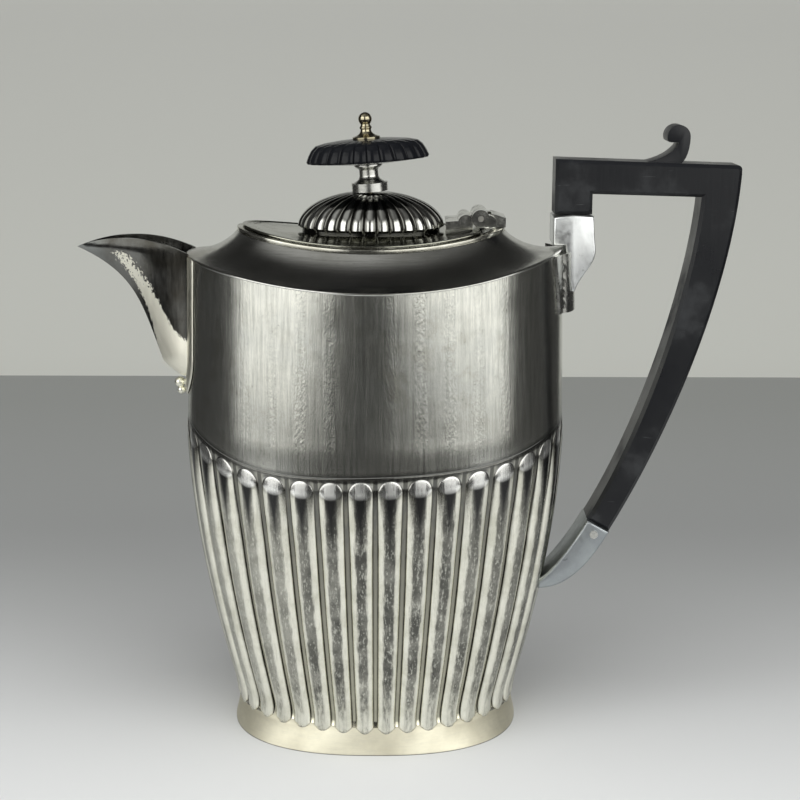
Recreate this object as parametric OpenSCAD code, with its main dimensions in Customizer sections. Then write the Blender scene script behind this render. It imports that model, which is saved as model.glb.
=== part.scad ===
// Oval half-fluted coffee pot with a hinged lid, a beak spout and a slab handle.
// Millimetres. The origin is the middle of the foot's flat underside,
// -X points to the spout, +X to the handle and +Z up.

/* [Body] */
// Length of the plain band at the shoulder edge, spout to handle
band_w = 131.6; // [124:0.1:140]
// Depth of the plain band at the shoulder edge, front to back
band_d = 98.4; // [92:0.1:106]
// How much each side of the body swells below the band
belly_swell = 1.4; // [0.6:0.1:2.4]
// Height at which the body is widest
belly_z = 112; // [104:0.5:120]
// Length of the body where it meets the foot
waist_w = 98.4; // [92:0.1:104]
// Depth of the body where it meets the foot
waist_d = 78.6; // [73:0.1:84]
// Height of the shoulder edge at the front and back
shoulder_z = 165.3; // [155:0.1:176]
// Climb of the shoulder edge towards the spout and handle
shoulder_rise = 8.5; // [6:0.1:10]
// Extra climb at the handle end over the middle of the two ends
shoulder_lean = 1.4; // [0:0.1:2]
// Dent in the shoulder's edge behind the handle
dent = 2.2; // [0:0.1:2.4]
// Thickness of the metal wall
wall = 1.2; // [0.9:0.1:1.6]

/* [Flutes] */
// Number of flutes around the body
flute_count = 36; // [28:4:44]
// Turn of the flutes round the pot, in degrees, towards the handle along the front
flute_turn = 0.8; // [-5:0.1:5]
// Depth of the groove between two flutes
flute_depth = 1.8; // [1:0.1:2.6]
// How far a flute stands proud of the plain band
flute_proud = 0.5; // [0.2:0.1:1]
// Height of the flute heads at the front and back
head_z = 102.2; // [94:0.1:108]
// Climb of the line of flute heads towards the spout and handle
head_rise = 11.4; // [6:0.1:14]
// Lift of that line on the handle's half, and its drop on the spout's half
head_lean = 2.4; // [0:0.1:4]
// Radius of a rounded flute head
head_r = 4.3; // [3:0.1:6]

/* [Foot] */
// Length of the foot
foot_w = 104.6; // [101:0.1:112]
// Depth of the foot
foot_d = 84.8; // [80:0.1:90]
// Squareness of the foot's outline: 2 is a plain oval and more is squarer
foot_power = 2.25; // [2:0.05:2.6]
// Height of the foot up to the ends of the flutes
foot_h = 6.5; // [5:0.1:9]
// Width of the flat edge that the pot stands on
foot_edge = 1.6; // [1:0.1:2.5]

/* [Neck] */
// Length of the neck rim
neck_w = 93.9; // [88:0.1:98]
// Depth of the neck rim
neck_d = 62.6; // [62:0.1:70]
// Shift of the neck towards the spout
neck_shift = 1.4; // [0:0.1:2]
// Height of the neck rim over the shoulder edge, at the front
neck_h = 11.65; // [9:0.1:15]
// Climb of the neck rim towards its two ends
neck_rise = 4.65; // [2:0.1:6]
// Height of the rim over the bottom of the shoulder's hollow
hollow_drop = 9.2; // [8:0.1:10]
// Height of the rim over the start of the shoulder's steep flank
flank_drop = 5.7; // [4.5:0.1:6.5]
// Width of the rim's flat top, from its outside to the mouth
rim_w = 4.1; // [3:0.1:5]
// Height of the rim's outer band
rim_h = 1.5; // [1.3:0.1:2]

/* [Lid] */
// Gap between the lid and what it closes on
lid_gap = 0.3; // [0.2:0.05:0.5]
// Distance from the rim's outside to the lid's edge
lid_inset = 1.95; // [1:0.05:2.5]
// Height of the bead along the lid's edge
bead_h = 0.6; // [0.5:0.1:1]
// Width of that bead
bead_w = 1.5; // [1:0.1:2.5]
// Thickness of the lid's plate
lid_t = 0.9; // [0.7:0.1:1.4]
// Clearance of the lid's bezel in the mouth
bezel_gap = 0.6; // [0.5:0.05:0.8]
// Depth of the bezel below the rim's top
bezel_h = 3; // [2:0.1:4]
// Drop from the rim's ends to the lid's flat ground
ground_drop = 1.8; // [1:0.1:2.6]
// Length of the fluted dome
dome_w = 51.4; // [44:0.1:54]
// Depth of the fluted dome
dome_d = 38; // [34:0.1:42]
// Height of the dome from its edge to its top
dome_h = 11.9; // [9:0.1:15]
// Height of the undercut below the dome's edge
dome_foot = 1.4; // [1:0.1:2]
// Number of flutes on the dome
dome_flutes = 30; // [24:2:36]
// Depth of the dome's flutes
dome_flute_depth = 0.9; // [0.5:0.1:1.2]

/* [Hinge] */
// Distance of the hinge pin from the rim's handle end
hinge_in = 8.9; // [8:0.1:10]
// Height of the hinge pin over the rim's end
hinge_up = 3.2; // [3:0.1:4]
// Radius of the knuckles
knuckle_r = 3.1; // [2.6:0.1:3.3]
// Length of the hinge along its pin
hinge_w = 18; // [15:0.5:22]
// Length of the lid's own knuckle
lid_knuckle_w = 7.6; // [6:0.1:9]
// Radius of the hinge pin
hinge_pin_r = 1; // [0.8:0.05:1.2]
// Radial clearance of the hinge pin in the knuckles
pin_gap = 0.05; // [0.03:0.01:0.08]
// Gap between leaves that pass each other
leaf_gap = 0.3; // [0.25:0.05:0.5]

/* [Finial] */
// Lean of the finial towards the spout, in degrees
finial_lean = 4; // [0:0.5:6]
// Radius of the spool's base
spool_base_r = 6.25; // [5:0.05:7]
// Radius of the spool's waist
spool_waist_r = 3.3; // [2.5:0.05:4]
// Radius of the spool's top
spool_top_r = 4.9; // [4:0.05:6]
// Height of the spool
spool_h = 9.2; // [8:0.1:12]
// Length of the knob's disc
disc_w = 43; // [36:0.1:46]
// Depth of the knob's disc
disc_d = 32.4; // [28:0.1:36]
// Height of the disc from its underside's middle to its top
disc_h = 8.9; // [7:0.1:11]
// How far the middle of the underside hangs below the disc's edge
disc_belly = 1.6; // [0.6:0.1:2.2]
// Number of flutes around the disc
disc_flutes = 24; // [16:2:30]
// Radius of the nut's round base
nut_base_r = 4.8; // [3.5:0.1:6]
// Radius of the nut's ball
ball_r = 2.35; // [1.8:0.05:3]
// Height of the nut
nut_h = 9; // [8:0.1:11]
// Radius of the stud through the finial
stud_r = 1.2; // [1:0.05:1.5]

/* [Spout] */
// Distance of the spout's tip from the pot's middle
spout_reach = 104.9; // [98:0.1:112]
// Height of the spout from its lowest point to its tip
spout_h = 46.3; // [42:0.1:50]
// Height of the tip over the shoulder's spout end
tip_up = 1.4; // [0.5:0.1:4]
// Width of the spout where it meets the body
spout_w = 20; // [17:0.1:23]
// Arch of the lips over the tip
lip_arch = 4.4; // [2:0.1:6]
// Thickness of the spout's metal
spout_t = 1.1; // [0.9:0.1:1.5]
// Width of the wire that covers the spout's seam
seam_w = 6.4; // [3:0.1:7]
// Thickness of that wire
seam_t = 0.9; // [0.6:0.1:1.4]
// Radius of the drop's large ball
drop_r = 1.9; // [1.4:0.05:2.4]
// Radius of the drop's small ball
drop_small_r = 1.55; // [1.2:0.05:1.9]
// Radius of the strainer holes behind the spout
strainer_r = 1.9; // [1.4:0.1:2.1]
// Distance between the rows of strainer holes
strainer_pitch = 6.6; // [5.6:0.1:7]

/* [Handle] */
// Thickness of the handle, front to back
handle_t = 14; // [11:0.1:16]
// Bevel along the handle's edges
bevel = 1.2; // [0.6:0.1:1.5]
// Distance of the handle's outer corner from the pot's middle
handle_reach = 126.7; // [120:0.1:134]
// Height of the handle's top over the shoulder's handle end
handle_rise = 30; // [27:0.1:33]
// Height of the handle's top bar
bar_h = 12; // [10:0.1:14]
// Fall of the top bar from the pot to the outer corner
bar_fall = 2; // [0:0.1:3]
// Width of the short post that enters the upper socket
post_w = 13.0; // [12:0.1:15]
// Width of the grip at its top
grip_w = 13.6; // [11:0.1:14.5]
// Height of the mouth of the lower socket, at its middle
grip_end_z = 73.7; // [68:0.1:80]
// Thickness of the scroll on top of the handle
scroll_t = 10; // [8:0.1:13]
// Height of that scroll
scroll_h = 12.9; // [9:0.1:14]

/* [Sockets] */
// Thickness of the sockets' metal
socket_t = 1; // [0.8:0.1:1.3]
// Clearance between handle and sockets
socket_gap = 0.05; // [0.03:0.01:0.1]
// Height of the upper socket over the shoulder's handle end
socket_up = 10.4; // [8:0.1:12]
// Depth to which the upper socket's point hangs below the shoulder
socket_down = 15.8; // [13:0.1:18]
// Height of the strip below the upper socket's point
tail_h = 7; // [5:0.1:12]
// Half width of the round of that strip
tail_r = 11; // [9:0.1:12]
// Height by which the strip stands off the body
tail_t = 4.4; // [3:0.1:5]
// Width of the flat flange on each side of the strip
tail_flange = 3.4; // [2:0.1:5]
// Height of the lower socket's foot on the body
lower_z = 50; // [46:0.1:56]
// Radius of the handle's pins
pin_r = 1.2; // [0.9:0.05:1.4]
// Radius of the lower pin's round heads
rivet_r = 1.5; // [1.2:0.05:2]

/* [Hidden] */

touch = 0.02;
big = 200;
band_a = band_w / 2;
band_b = band_d / 2;
belly_a = band_a + belly_swell;
belly_b = band_b + belly_swell;
waist_a = waist_w / 2;
waist_b = waist_d / 2;
foot_a = foot_w / 2;
foot_b = foot_d / 2;
neck_a = neck_w / 2;
neck_b = neck_d / 2;
neck_z = shoulder_z + neck_h;
taper_power = 1.75;

// Columns: four per flute, so that grooves and crests have their own
flute_steps = 4;
columns = flute_count * flute_steps;
smooth_columns = 72;

// Angle on the oval for a turn of t degrees that walks equal distances
even = (belly_a - belly_b) / (belly_a + belly_b) / 2 * 180 / PI;
function oval_angle(t) = t + even * sin(2 * t);

// Height of the shoulder edge and of the neck rim round the pot
dent_angle = 22;
function edge_z(p) =
    shoulder_z + pow(cos(p), 2) * (shoulder_rise + shoulder_lean * cos(p))
    - dent * pow(max(0, cos(p - dent_angle)), 16);
function rim_z(p) = neck_z + neck_rise * pow(cos(p), 2);
handle_end_z = shoulder_z + shoulder_rise + shoulder_lean;
spout_end_z = edge_z(180);
top_z = shoulder_z + shoulder_rise;

// Share of the way from the belly in to the waist, at height z
function draw_in(z) =
    z < belly_z ? pow((belly_z - z) / (belly_z - foot_h), taper_power) : 0;
function draw_up(z) = z > belly_z ? (z - belly_z) / (top_z - belly_z) : 0;
function half_w(z) =
    belly_a - (belly_a - waist_a) * draw_in(z) - (belly_a - band_a) * draw_up(z);
function half_d(z) =
    belly_b - (belly_b - waist_b) * draw_in(z) - (belly_b - band_b) * draw_up(z);
function on_body(p, z, off) =
    [(half_w(z) + off) * cos(p), (half_d(z) + off) * sin(p), z];
// X of the body's plain surface at depth y and height z
function body_x(y, z) = half_w(z) * sqrt(1 - pow(y / half_d(z), 2));

// A closed ring: each column is a closed loop of points, in order round the oval
module ring_of(cols) {
    m = len(cols);
    n = len(cols[0]);
    polyhedron(
        points = [for (c = cols) each c],
        faces = [
            for (i = [0 : m - 1], k = [0 : n - 1])
                let (
                    a = i * n + k,
                    b = i * n + (k + 1) % n,
                    c = ((i + 1) % m) * n + (k + 1) % n,
                    d = ((i + 1) % m) * n + k
                )
                each [[a, b, c], [a, c, d]]
        ],
        convexity = 10
    );
}

// A bar: the same loops from one end to the other, closed by a strip at each end
module strip_of(cols) {
    m = len(cols);
    n = len(cols[0]);
    last = (m - 1) * n;
    polyhedron(
        points = [for (c = cols) each c],
        faces = [
            for (i = [0 : m - 2], k = [0 : n - 1])
                let (
                    a = i * n + k,
                    b = i * n + (k + 1) % n,
                    c = (i + 1) * n + (k + 1) % n,
                    d = (i + 1) * n + k
                )
                each [[a, c, b], [a, d, c]],
            for (k = [0 : n / 2 - 2])
                each [[k, k + 1, n - 2 - k], [k, n - 2 - k, n - 1 - k]],
            for (k = [0 : n / 2 - 2])
                each [
                    [last + k, last + n - 2 - k, last + k + 1],
                    [last + k, last + n - 1 - k, last + n - 2 - k]
                ]
        ],
        convexity = 10
    );
}

// A pile of level loops, closed by a flat face at each end
module pile_of(loops) {
    m = len(loops);
    n = len(loops[0]);
    polyhedron(
        points = [for (c = loops) each c],
        faces = [
            [for (k = [0 : n - 1]) k],
            for (i = [0 : m - 2], k = [0 : n - 1])
                let (
                    a = i * n + k,
                    b = i * n + (k + 1) % n,
                    c = (i + 1) * n + (k + 1) % n,
                    d = (i + 1) * n + k
                )
                each [[a, c, b], [a, d, c]],
            [for (k = [n - 1 : -1 : 0]) (m - 1) * n + k]
        ],
        convexity = 10
    );
}

// Ring with the section [half length, half depth, shift, height, climb, lean]
module oval_ring(section, n) {
    ring_of([
        for (j = [0 : n - 1])
            let (p = oval_angle(360 * j / n))
            [
                for (s = section)
                    [
                        s[0] * cos(p) - s[2],
                        s[1] * sin(p),
                        s[3] + pow(cos(p), 2) * (s[4] + s[5] * cos(p))
                    ]
            ]
    ]);
}

function oval_points(a, b, n) =
    [for (j = [0 : n - 1]) let (p = oval_angle(360 * j / n)) [a * cos(p), b * sin(p)]];

// Points along a cubic curve between a and d
function curve(a, b, c, d, steps) =
    [
        for (i = [0 : steps])
            let (t = i / steps, u = 1 - t)
            u * u * u * a + 3 * u * u * t * b + 3 * u * t * t * c + t * t * t * d
    ];
function arc(c, r, from, to, steps) =
    [
        for (i = [0 : steps])
            let (t = from + (to - from) * i / steps)
            c + r * [cos(t), sin(t)]
    ];
function unit(v) = v / norm(v);
function left_of(v) = [-v[1], v[0]];
// Outline moved inwards by d, for points that run counter-clockwise
function inset(pts, d) =
    [
        for (i = [0 : len(pts) - 1])
            let (
                n = len(pts),
                a = left_of(unit(pts[i] - pts[(i + n - 1) % n])),
                b = left_of(unit(pts[(i + 1) % n] - pts[i]))
            )
            pts[i] + d * (a + b) / (1 + a * b)
    ];

// An outline in X and Z, made t thick and centred on the pot's long axis
module slab(pts, t) {
    rotate([90, 0, 0]) translate([0, 0, -t / 2]) linear_extrude(t) polygon(pts);
}

// A round bar along Y
module cross_bar(x, z, r, w) {
    translate([x, w / 2, z]) rotate([90, 0, 0]) cylinder(r = r, h = w, $fn = 48);
}

// ---- Body ----

fade_h = 6;
// Offset of the fluted surface, s from -1 in one groove to 1 in the next
function flute_off(s, below_head) =
    let (q = min(1, below_head / fade_h), fade = sqrt(1 - pow(1 - q, 2)))
    fade * (flute_proud - (flute_depth + flute_proud) * (1 - sqrt(1 - s * s)));
function head_line(p) =
    head_z + head_rise * pow(cos(p), 4) + head_lean * cos(p) * pow(sin(p), 2);

flute_levels = [0, 0.08, 0.3, 0.55, 0.78, 0.92, 0.975, 1];
function body_column(j) =
    let (
        p = oval_angle(360 * j / columns + flute_turn),
        s = (j % flute_steps) / flute_steps * 2 - 1,
        top = head_line(p) - head_r * (1 - sqrt(1 - s * s)),
        edge = edge_z(p) - seat_h,
        levels = [
            for (v = flute_levels) foot_h + (top - foot_h) * v,
            (top + edge) / 2,
            edge
        ],
        outer = [
            for (z = levels)
                let (off = z < top ? flute_off(s, top - z) : 0)
                on_body(p, z, off)
        ],
        inner = [
            for (z = levels)
                let (off = z < top ? flute_off(s, top - z) : 0)
                on_body(p, z, off - wall)
        ]
    )
    concat(outer, [for (k = [len(inner) - 1 : -1 : 0]) inner[k]]);

// Height of the shoulder's own edge above the wall that carries it
seat_h = 0.8;
strainer_rows = 5;
strainer_top = spout_end_z - 5;
module strainer_holes() {
    for (row = [0 : strainer_rows - 1]) {
        count = row % 2 == 0 ? 3 : 2;
        for (k = [0 : count - 1]) {
            y = (k - (count - 1) / 2) * strainer_pitch * 0.85;
            translate([-belly_a - 5, y, strainer_top - row * strainer_pitch])
                rotate([0, 90, 0])
                cylinder(r = strainer_r, h = 20, $fn = 32);
        }
    }
}
module body_shell() {
    color([0.72, 0.71, 0.68])
    difference() {
        ring_of([for (j = [0 : columns - 1]) body_column(j)]);
        strainer_holes();
    }
}

plate_a = waist_a - wall;
plate_b = waist_b - wall;
module base_plate() {
    color([0.6, 0.6, 0.58])
    translate([0, 0, foot_h - wall])
    linear_extrude(wall) polygon(oval_points(plate_a, plate_b, smooth_columns));
}

// Section of the foot: [share of the way from the waist out to the foot, distance outwards,
// height]. It runs past the ground, where a flat cut ends it.
foot_top = 0.45;
foot_section = [
    [0, -wall, foot_h],
    [0, -wall, foot_h - wall - 0.6],
    [1, -foot_edge - 1, 1.2],
    [1, -foot_edge, 0],
    [1, -foot_edge, -foot_edge],
    [1, 0, -foot_edge],
    [1, 0, foot_h * 0.15],
    [0.85, 0, foot_h * 0.46],
    [0.65, 0, foot_h * 0.77],
    [foot_top, 0, foot_h]
];
function signed_power(v, power) = sign(v) * pow(abs(v), power);
function foot_point(p, row) =
    let (
        power = 2 / (2 + (foot_power - 2) * row[0]),
        a = waist_a + (foot_a - waist_a) * row[0] + row[1],
        b = waist_b + (foot_b - waist_b) * row[0] + row[1]
    )
    [a * signed_power(cos(p), power), b * signed_power(sin(p), power), row[2]];
module foot_rim() {
    color([0.75, 0.72, 0.66])
    difference() {
        ring_of([
            for (j = [0 : smooth_columns - 1])
                let (p = oval_angle(360 * j / smooth_columns))
                [for (row = foot_section) foot_point(p, row)]
        ]);
        translate([-big / 2, -big / 2, -big]) cube([big, big, big]);
    }
}

// Profile of the shoulder, from its edge in to the neck: [distance inwards, height]
shoulder_steps = 7;
function shoulder_profile(p) =
    curve(
        [0, edge_z(p)],
        [0.42, rim_z(p) - hollow_drop],
        [0.8, rim_z(p) - flank_drop],
        [1, rim_z(p) - rim_h],
        shoulder_steps
    );
function shoulder_point(p, row, down, in) =
    let (
        a0 = half_w(edge_z(p)),
        b0 = half_d(edge_z(p)),
        a = a0 + (neck_a - a0) * row[0] - in * row[0],
        b = b0 + (neck_b - b0) * row[0] - in * row[0]
    )
    [a * cos(p) - neck_shift * row[0], b * sin(p), row[1] - down];
function shoulder_column(j) =
    let (
        p = oval_angle(360 * j / columns),
        z0 = edge_z(p),
        rows = shoulder_profile(p)
    )
    concat(
        [
            on_body(p, z0 - seat_h, -wall),
            on_body(p, z0 - seat_h, 0),
            on_body(p, z0 - seat_h / 2, 0.3)
        ],
        [for (row = rows) shoulder_point(p, row, 0, 0)],
        [
            for (k = [shoulder_steps : -1 : 1])
                shoulder_point(p, rows[k], 0.6 * wall * (1 + pow(1 - rows[k][0], 2)), wall)
        ]
    );
module shoulder() {
    color([0.62, 0.61, 0.58])
    ring_of([for (j = [0 : columns - 1]) shoulder_column(j)]);
}
function reverse(v) = [for (k = [len(v) - 1 : -1 : 0]) v[k]];

mouth_a = neck_a - rim_w;
mouth_b = neck_b - rim_w;
function neck_row(inset, up) =
    [neck_a - inset, neck_b - inset, neck_shift, neck_z + up, neck_rise, 0];
module neck_rim() {
    color([0.66, 0.65, 0.62])
    oval_ring([
        neck_row(0, -rim_h),
        neck_row(0, 0),
        neck_row(rim_w, 0),
        neck_row(rim_w, -wall),
        neck_row(wall, -wall),
        neck_row(wall, -rim_h)
    ], columns);
}

// ---- Spout ----

tip_z = spout_end_z + tip_up;
spout_low = tip_z - spout_h;
spout_round = 9;
plan_power = 1.6;
lower_bulge = 8.4;
// X of the spout's keel, as a distance from the body's middle
function keel(z) =
    let (
        q = max(0, min(1, (z - spout_low - 4) / (spout_h - 4))),
        start = half_w(spout_low) + lower_bulge,
        rest = spout_reach - start
    )
    start + rest * (0.47 * q + 0.53 * pow(q, 5));
// One point of the spout: u from -1 to 1 across the keel, v from 0 to 1 upwards
function spout_point(u, v, inner) =
    let (
        w = spout_w / 2 - (inner ? spout_t : 0),
        y = w * u,
        low = spout_low + (inner ? 1.5 * spout_t : 0)
            + spout_round * (1 - sqrt(1 - u * u)),
        along = pow(1 - abs(u), 1 / plan_power),
        high = spout_end_z + tip_up * along + lip_arch * 4 * along * (1 - along),
        z = low + (high - low) * v,
        grow = sqrt(min(1, (z - low) / 5)),
        reach = keel(min(z, tip_z)) - (inner ? 2.4 * spout_t : 0),
        base = body_x(y, z) + touch
    )
    [-base - max(0, reach - base) * along * grow, y, z];
spout_across = [-1, -0.93, -0.8, -0.62, -0.42, -0.2, 0, 0.2, 0.42, 0.62, 0.8, 0.93, 1];
spout_up = [0, 0.03, 0.1, 0.22, 0.36, 0.5, 0.62, 0.74, 0.84, 0.92, 1];
module spout() {
    color([0.7, 0.68, 0.62])
    strip_of([
        for (u = spout_across)
            concat(
                [for (v = spout_up) spout_point(u, v, false)],
                [for (v = reverse(spout_up)) spout_point(u, v, true)]
            )
    ]);
}

// The seam runs down one side of the spout, round its low end and up the other
seam_top = spout_end_z - seat_h - 0.2;
seam_low = spout_low + spout_round;
function seam_path(i, steps, off) =
    let (
        r = spout_w / 2 + off,
        side = i < 2 ? -1 : 1,
        a = 180 + 180 * (i - 1) / (steps - 2)
    )
    i == 0 ? [-r, seam_top]
    : i == steps ? [r, seam_top]
    : [r * cos(a), seam_low + (spout_round + off) * sin(a)];
seam_steps = 20;
function on_wall(p, off) = [-body_x(p[0], p[1]) - off, p[0], p[1]];
seam_gap = 0.12;
module spout_seam_wire() {
    color([0.74, 0.73, 0.7])
    strip_of([
        for (i = [0 : seam_steps])
            let (
                in = seam_path(i, seam_steps, 0.1),
                mid = seam_path(i, seam_steps, 0.1 + seam_w / 2),
                out = seam_path(i, seam_steps, 0.1 + seam_w)
            )
            [
                on_wall(in, seam_gap),
                on_wall(mid, seam_gap),
                on_wall(out, seam_gap),
                on_wall(out, seam_t),
                on_wall(mid, seam_t),
                on_wall(in, seam_t)
            ]
    ]);
}

drop_z = spout_low - 2.4;
drop_x = -half_w(drop_z) - seam_t - drop_r - 0.3;
module spout_drop() {
    color([0.78, 0.77, 0.73])
    union() {
        translate([drop_x, 0, drop_z]) sphere(r = drop_r, $fn = 32);
        translate([drop_x + drop_r - drop_small_r + 0.15, 0, drop_z - drop_r - drop_small_r + 0.6])
            sphere(r = drop_small_r, $fn = 32);
        translate([drop_x, 0, drop_z])
            rotate([0, 90, 0])
            cylinder(r = drop_r * 0.55, h = drop_r + 0.28, $fn = 32);
    }
}

// ---- Handle and its sockets ----

// Upper socket: a sleeve on the shoulder's edge that ends in a point below it
wall_x = half_w(handle_end_z);
socket_x0 = wall_x - 3.8;
post_x0 = socket_x0 + 0.4;
post_x1 = post_x0 + post_w;
socket_x1 = post_x1 + 0.4;
socket_top = handle_end_z + socket_up;
socket_low = handle_end_z - socket_down;
socket_seat = 0.35;
point_x = wall_x + 3;
socket_w = handle_t + 2 * (socket_t + socket_gap);
socket_bulge = 1.2;
upper_outline = [
    [point_x, socket_low],
    [point_x + 1, socket_low],
    [point_x + 2.8, socket_low + socket_down * 0.27],
    [point_x + 5, socket_low + socket_down * 0.56],
    [socket_x1 + socket_bulge, handle_end_z - 2.6],
    [socket_x1 + 0.4, handle_end_z + socket_up * 0.4],
    [socket_x1, socket_top],
    [(socket_x0 + socket_x1) / 2, socket_top + 0.5],
    [socket_x0, socket_top - 0.3],
    [socket_x0, handle_end_z + socket_seat],
    [wall_x + socket_seat, handle_end_z + socket_seat]
];
// The tenon that the handle puts into the upper socket
tenon_in = socket_t + socket_gap;
tenon_x0 = socket_x0 + tenon_in;
tenon_x1 = socket_x1 - tenon_in;
tenon_low = handle_end_z + 1.8;
upper_pin = [(socket_x0 + socket_x1) / 2 + 0.8, handle_end_z + socket_up * 0.58];
module upper_handle_socket() {
    color([0.82, 0.83, 0.84])
    difference() {
        slab(upper_outline, socket_w);
        translate([tenon_x0 - socket_gap, -handle_t / 2 - socket_gap, tenon_low - socket_gap])
            cube([
                tenon_x1 - tenon_x0 + 2 * socket_gap,
                handle_t + 2 * socket_gap,
                socket_up + 2
            ]);
        cross_bar(upper_pin[0], upper_pin[1], pin_r + socket_gap, socket_w + 2);
    }
}

// The strip under the upper socket lies on the body's wall
tail_edge = 1;
tail_low = socket_low - tail_h;
tail_top = handle_end_z - seat_h - 1.4;
function tail_half(z) =
    tail_r + tail_flange * (1 + (z - tail_low) / (tail_top - tail_low));
function tail_off(y) =
    abs(y) >= tail_r
    ? tail_edge
    : tail_edge + (tail_t - tail_edge) * sqrt(1 - pow(y / tail_r, 2));
tail_across = 16;
tail_up = 4;
module upper_socket_tail() {
    color([0.7, 0.7, 0.68])
    difference() {
        strip_of([
            for (i = [0 : tail_across])
                let (
                    a = -90 + 180 * i / tail_across,
                    zs = [for (k = [0 : tail_up]) tail_low + (tail_top - tail_low) * k / tail_up]
                )
                concat(
                    [for (z = zs) let (y = tail_half(z) * sin(a)) [body_x(y, z) + touch, y, z]],
                    [
                        for (z = reverse(zs))
                            let (y = tail_half(z) * sin(a))
                            [body_x(y, z) + tail_off(y), y, z]
                    ]
                )
        ]);
        slab(upper_outline, socket_w + 2 * touch);
    }
}

// Lower socket: from its foot on the flutes up to the mouth that takes the grip
grip_angle = 60.3;
grip_dir = [cos(grip_angle), sin(grip_angle)];
mouth_dir = [grip_dir[1], -grip_dir[0]];
lower_reach = 20.6;
mouth_mid = [half_w(lower_z) + lower_reach, grip_end_z];
grip_end_w = 9.2;
mouth_out = mouth_mid + mouth_dir * grip_end_w / 2;
mouth_in = mouth_mid - mouth_dir * grip_end_w / 2;
lower_x = half_w(lower_z);
lower_h = 4.2;
lower_outline = concat(
    curve(
        mouth_out, mouth_out - grip_dir * 9,
        [lower_x + 12, lower_z - 0.4], [lower_x - 4, lower_z], 14
    ),
    [for (p = [0 : 14])
        curve(
            [lower_x - 4, lower_z + 1.6], [lower_x + 3, lower_z + lower_h + 1],
            mouth_in - grip_dir * 14, mouth_in, 14
        )[p]]
);
tongue_l = 6;
tongue_w = grip_end_w - 2 * tenon_in;
tongue_end_w = tongue_w * 0.6;
function tongue(gap) = [
    mouth_mid + mouth_dir * (tongue_w / 2 + gap) + grip_dir * 2 * gap,
    mouth_mid - mouth_dir * (tongue_w / 2 + gap) + grip_dir * 2 * gap,
    mouth_mid - mouth_dir * (tongue_end_w / 2 + gap) - grip_dir * (tongue_l + gap),
    mouth_mid + mouth_dir * (tongue_end_w / 2 + gap) - grip_dir * (tongue_l + gap)
];
lower_pin = mouth_mid - grip_dir * 3.4;
crest_gap = flute_proud + 0.1;
module lower_handle_socket() {
    color([0.6, 0.63, 0.66])
    difference() {
        slab(lower_outline, socket_w);
        slab(reverse(tongue(socket_gap)), handle_t + 2 * socket_gap);
        cross_bar(lower_pin[0], lower_pin[1], pin_r + socket_gap, socket_w + 2);
        translate([0, 0, lower_z - 6])
            scale([1, half_d(lower_z) / half_w(lower_z), 1])
            cylinder(
                r1 = half_w(lower_z - 6) + crest_gap,
                r2 = half_w(lower_z + 10) + crest_gap,
                h = 16,
                $fn = 128
            );
    }
}

bar_top = handle_end_z + handle_rise;
corner = [handle_reach, bar_top - bar_fall];
bar_low = bar_top - bar_h;
grip_top_in = [handle_reach - grip_w, bar_low - bar_fall / 2];
grip_fall = corner[1] - grip_end_z;
corner_r = 1.6;
handle_outline = concat(
    [
        [tenon_x0, tenon_low],
        [tenon_x1, tenon_low],
        [tenon_x1, socket_top + 0.6],
        [post_x1, socket_top + 0.6],
        [post_x1, bar_low]
    ],
    curve(
        grip_top_in, grip_top_in - [2.2, grip_fall / 4],
        mouth_in + grip_dir * grip_fall * 0.3, mouth_in, 16
    ),
    [for (k = [1 : 4]) tongue(0)[k % 4]],
    curve(
        mouth_out, mouth_out + grip_dir * grip_fall / 3,
        corner - [2, grip_fall / 3], corner - [0, 2 * corner_r], 16
    ),
    arc(corner - [corner_r, corner_r], corner_r, 0, 90, 3),
    [
        [post_x0, bar_top],
        [post_x0, socket_top + 0.6],
        [tenon_x0, socket_top + 0.6]
    ]
);
function at_y(pts, y) = [for (p = pts) [p[0], y, p[1]]];
// The scroll stands on the bar: a hook that curls back over the pot
scroll_x = handle_reach - 22.1;
function bar_top_at(x) = bar_top - bar_fall * (x - post_x0) / (handle_reach - post_x0);
scroll_r = 4;
scroll_mid = [scroll_x, bar_top_at(scroll_x) + scroll_h - scroll_r];
scroll_outline = concat(
    [[scroll_x + 1.2, bar_top_at(scroll_x) - 0.5]],
    curve(
        [scroll_x + 1.4, bar_top_at(scroll_x)], [scroll_x + 3.4, bar_top_at(scroll_x) + 2],
        scroll_mid + [scroll_r, -3], scroll_mid + [scroll_r, 0], 4
    ),
    arc(scroll_mid, scroll_r, 15, 200, 12),
    curve(
        scroll_mid + [-3.2, -1.8], scroll_mid + [-1.6, -2.2],
        scroll_mid + [0.1, -1.4], scroll_mid + [0, -2.3], 4
    ),
    curve(
        scroll_mid + [-0.4, -3.2], scroll_mid + [-3, -6.2],
        [scroll_x - 7, bar_top_at(scroll_x) + 0.5],
        [scroll_x - 15, bar_top_at(scroll_x) - 0.5], 8
    )
);
module handle() {
    color([0.06, 0.065, 0.07])
    difference() {
        union() {
            pile_of([
                at_y(inset(handle_outline, bevel), handle_t / 2),
                at_y(handle_outline, handle_t / 2 - bevel),
                at_y(handle_outline, bevel - handle_t / 2),
                at_y(inset(handle_outline, bevel), -handle_t / 2)
            ]);
            slab(scroll_outline, scroll_t);
        }
        cross_bar(upper_pin[0], upper_pin[1], pin_r + socket_gap, handle_t + 2);
        cross_bar(lower_pin[0], lower_pin[1], pin_r + socket_gap, handle_t + 2);
    }
}
module upper_handle_pin() {
    color([0.3, 0.3, 0.3])
    cross_bar(upper_pin[0], upper_pin[1], pin_r, socket_w - 1);
}
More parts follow.
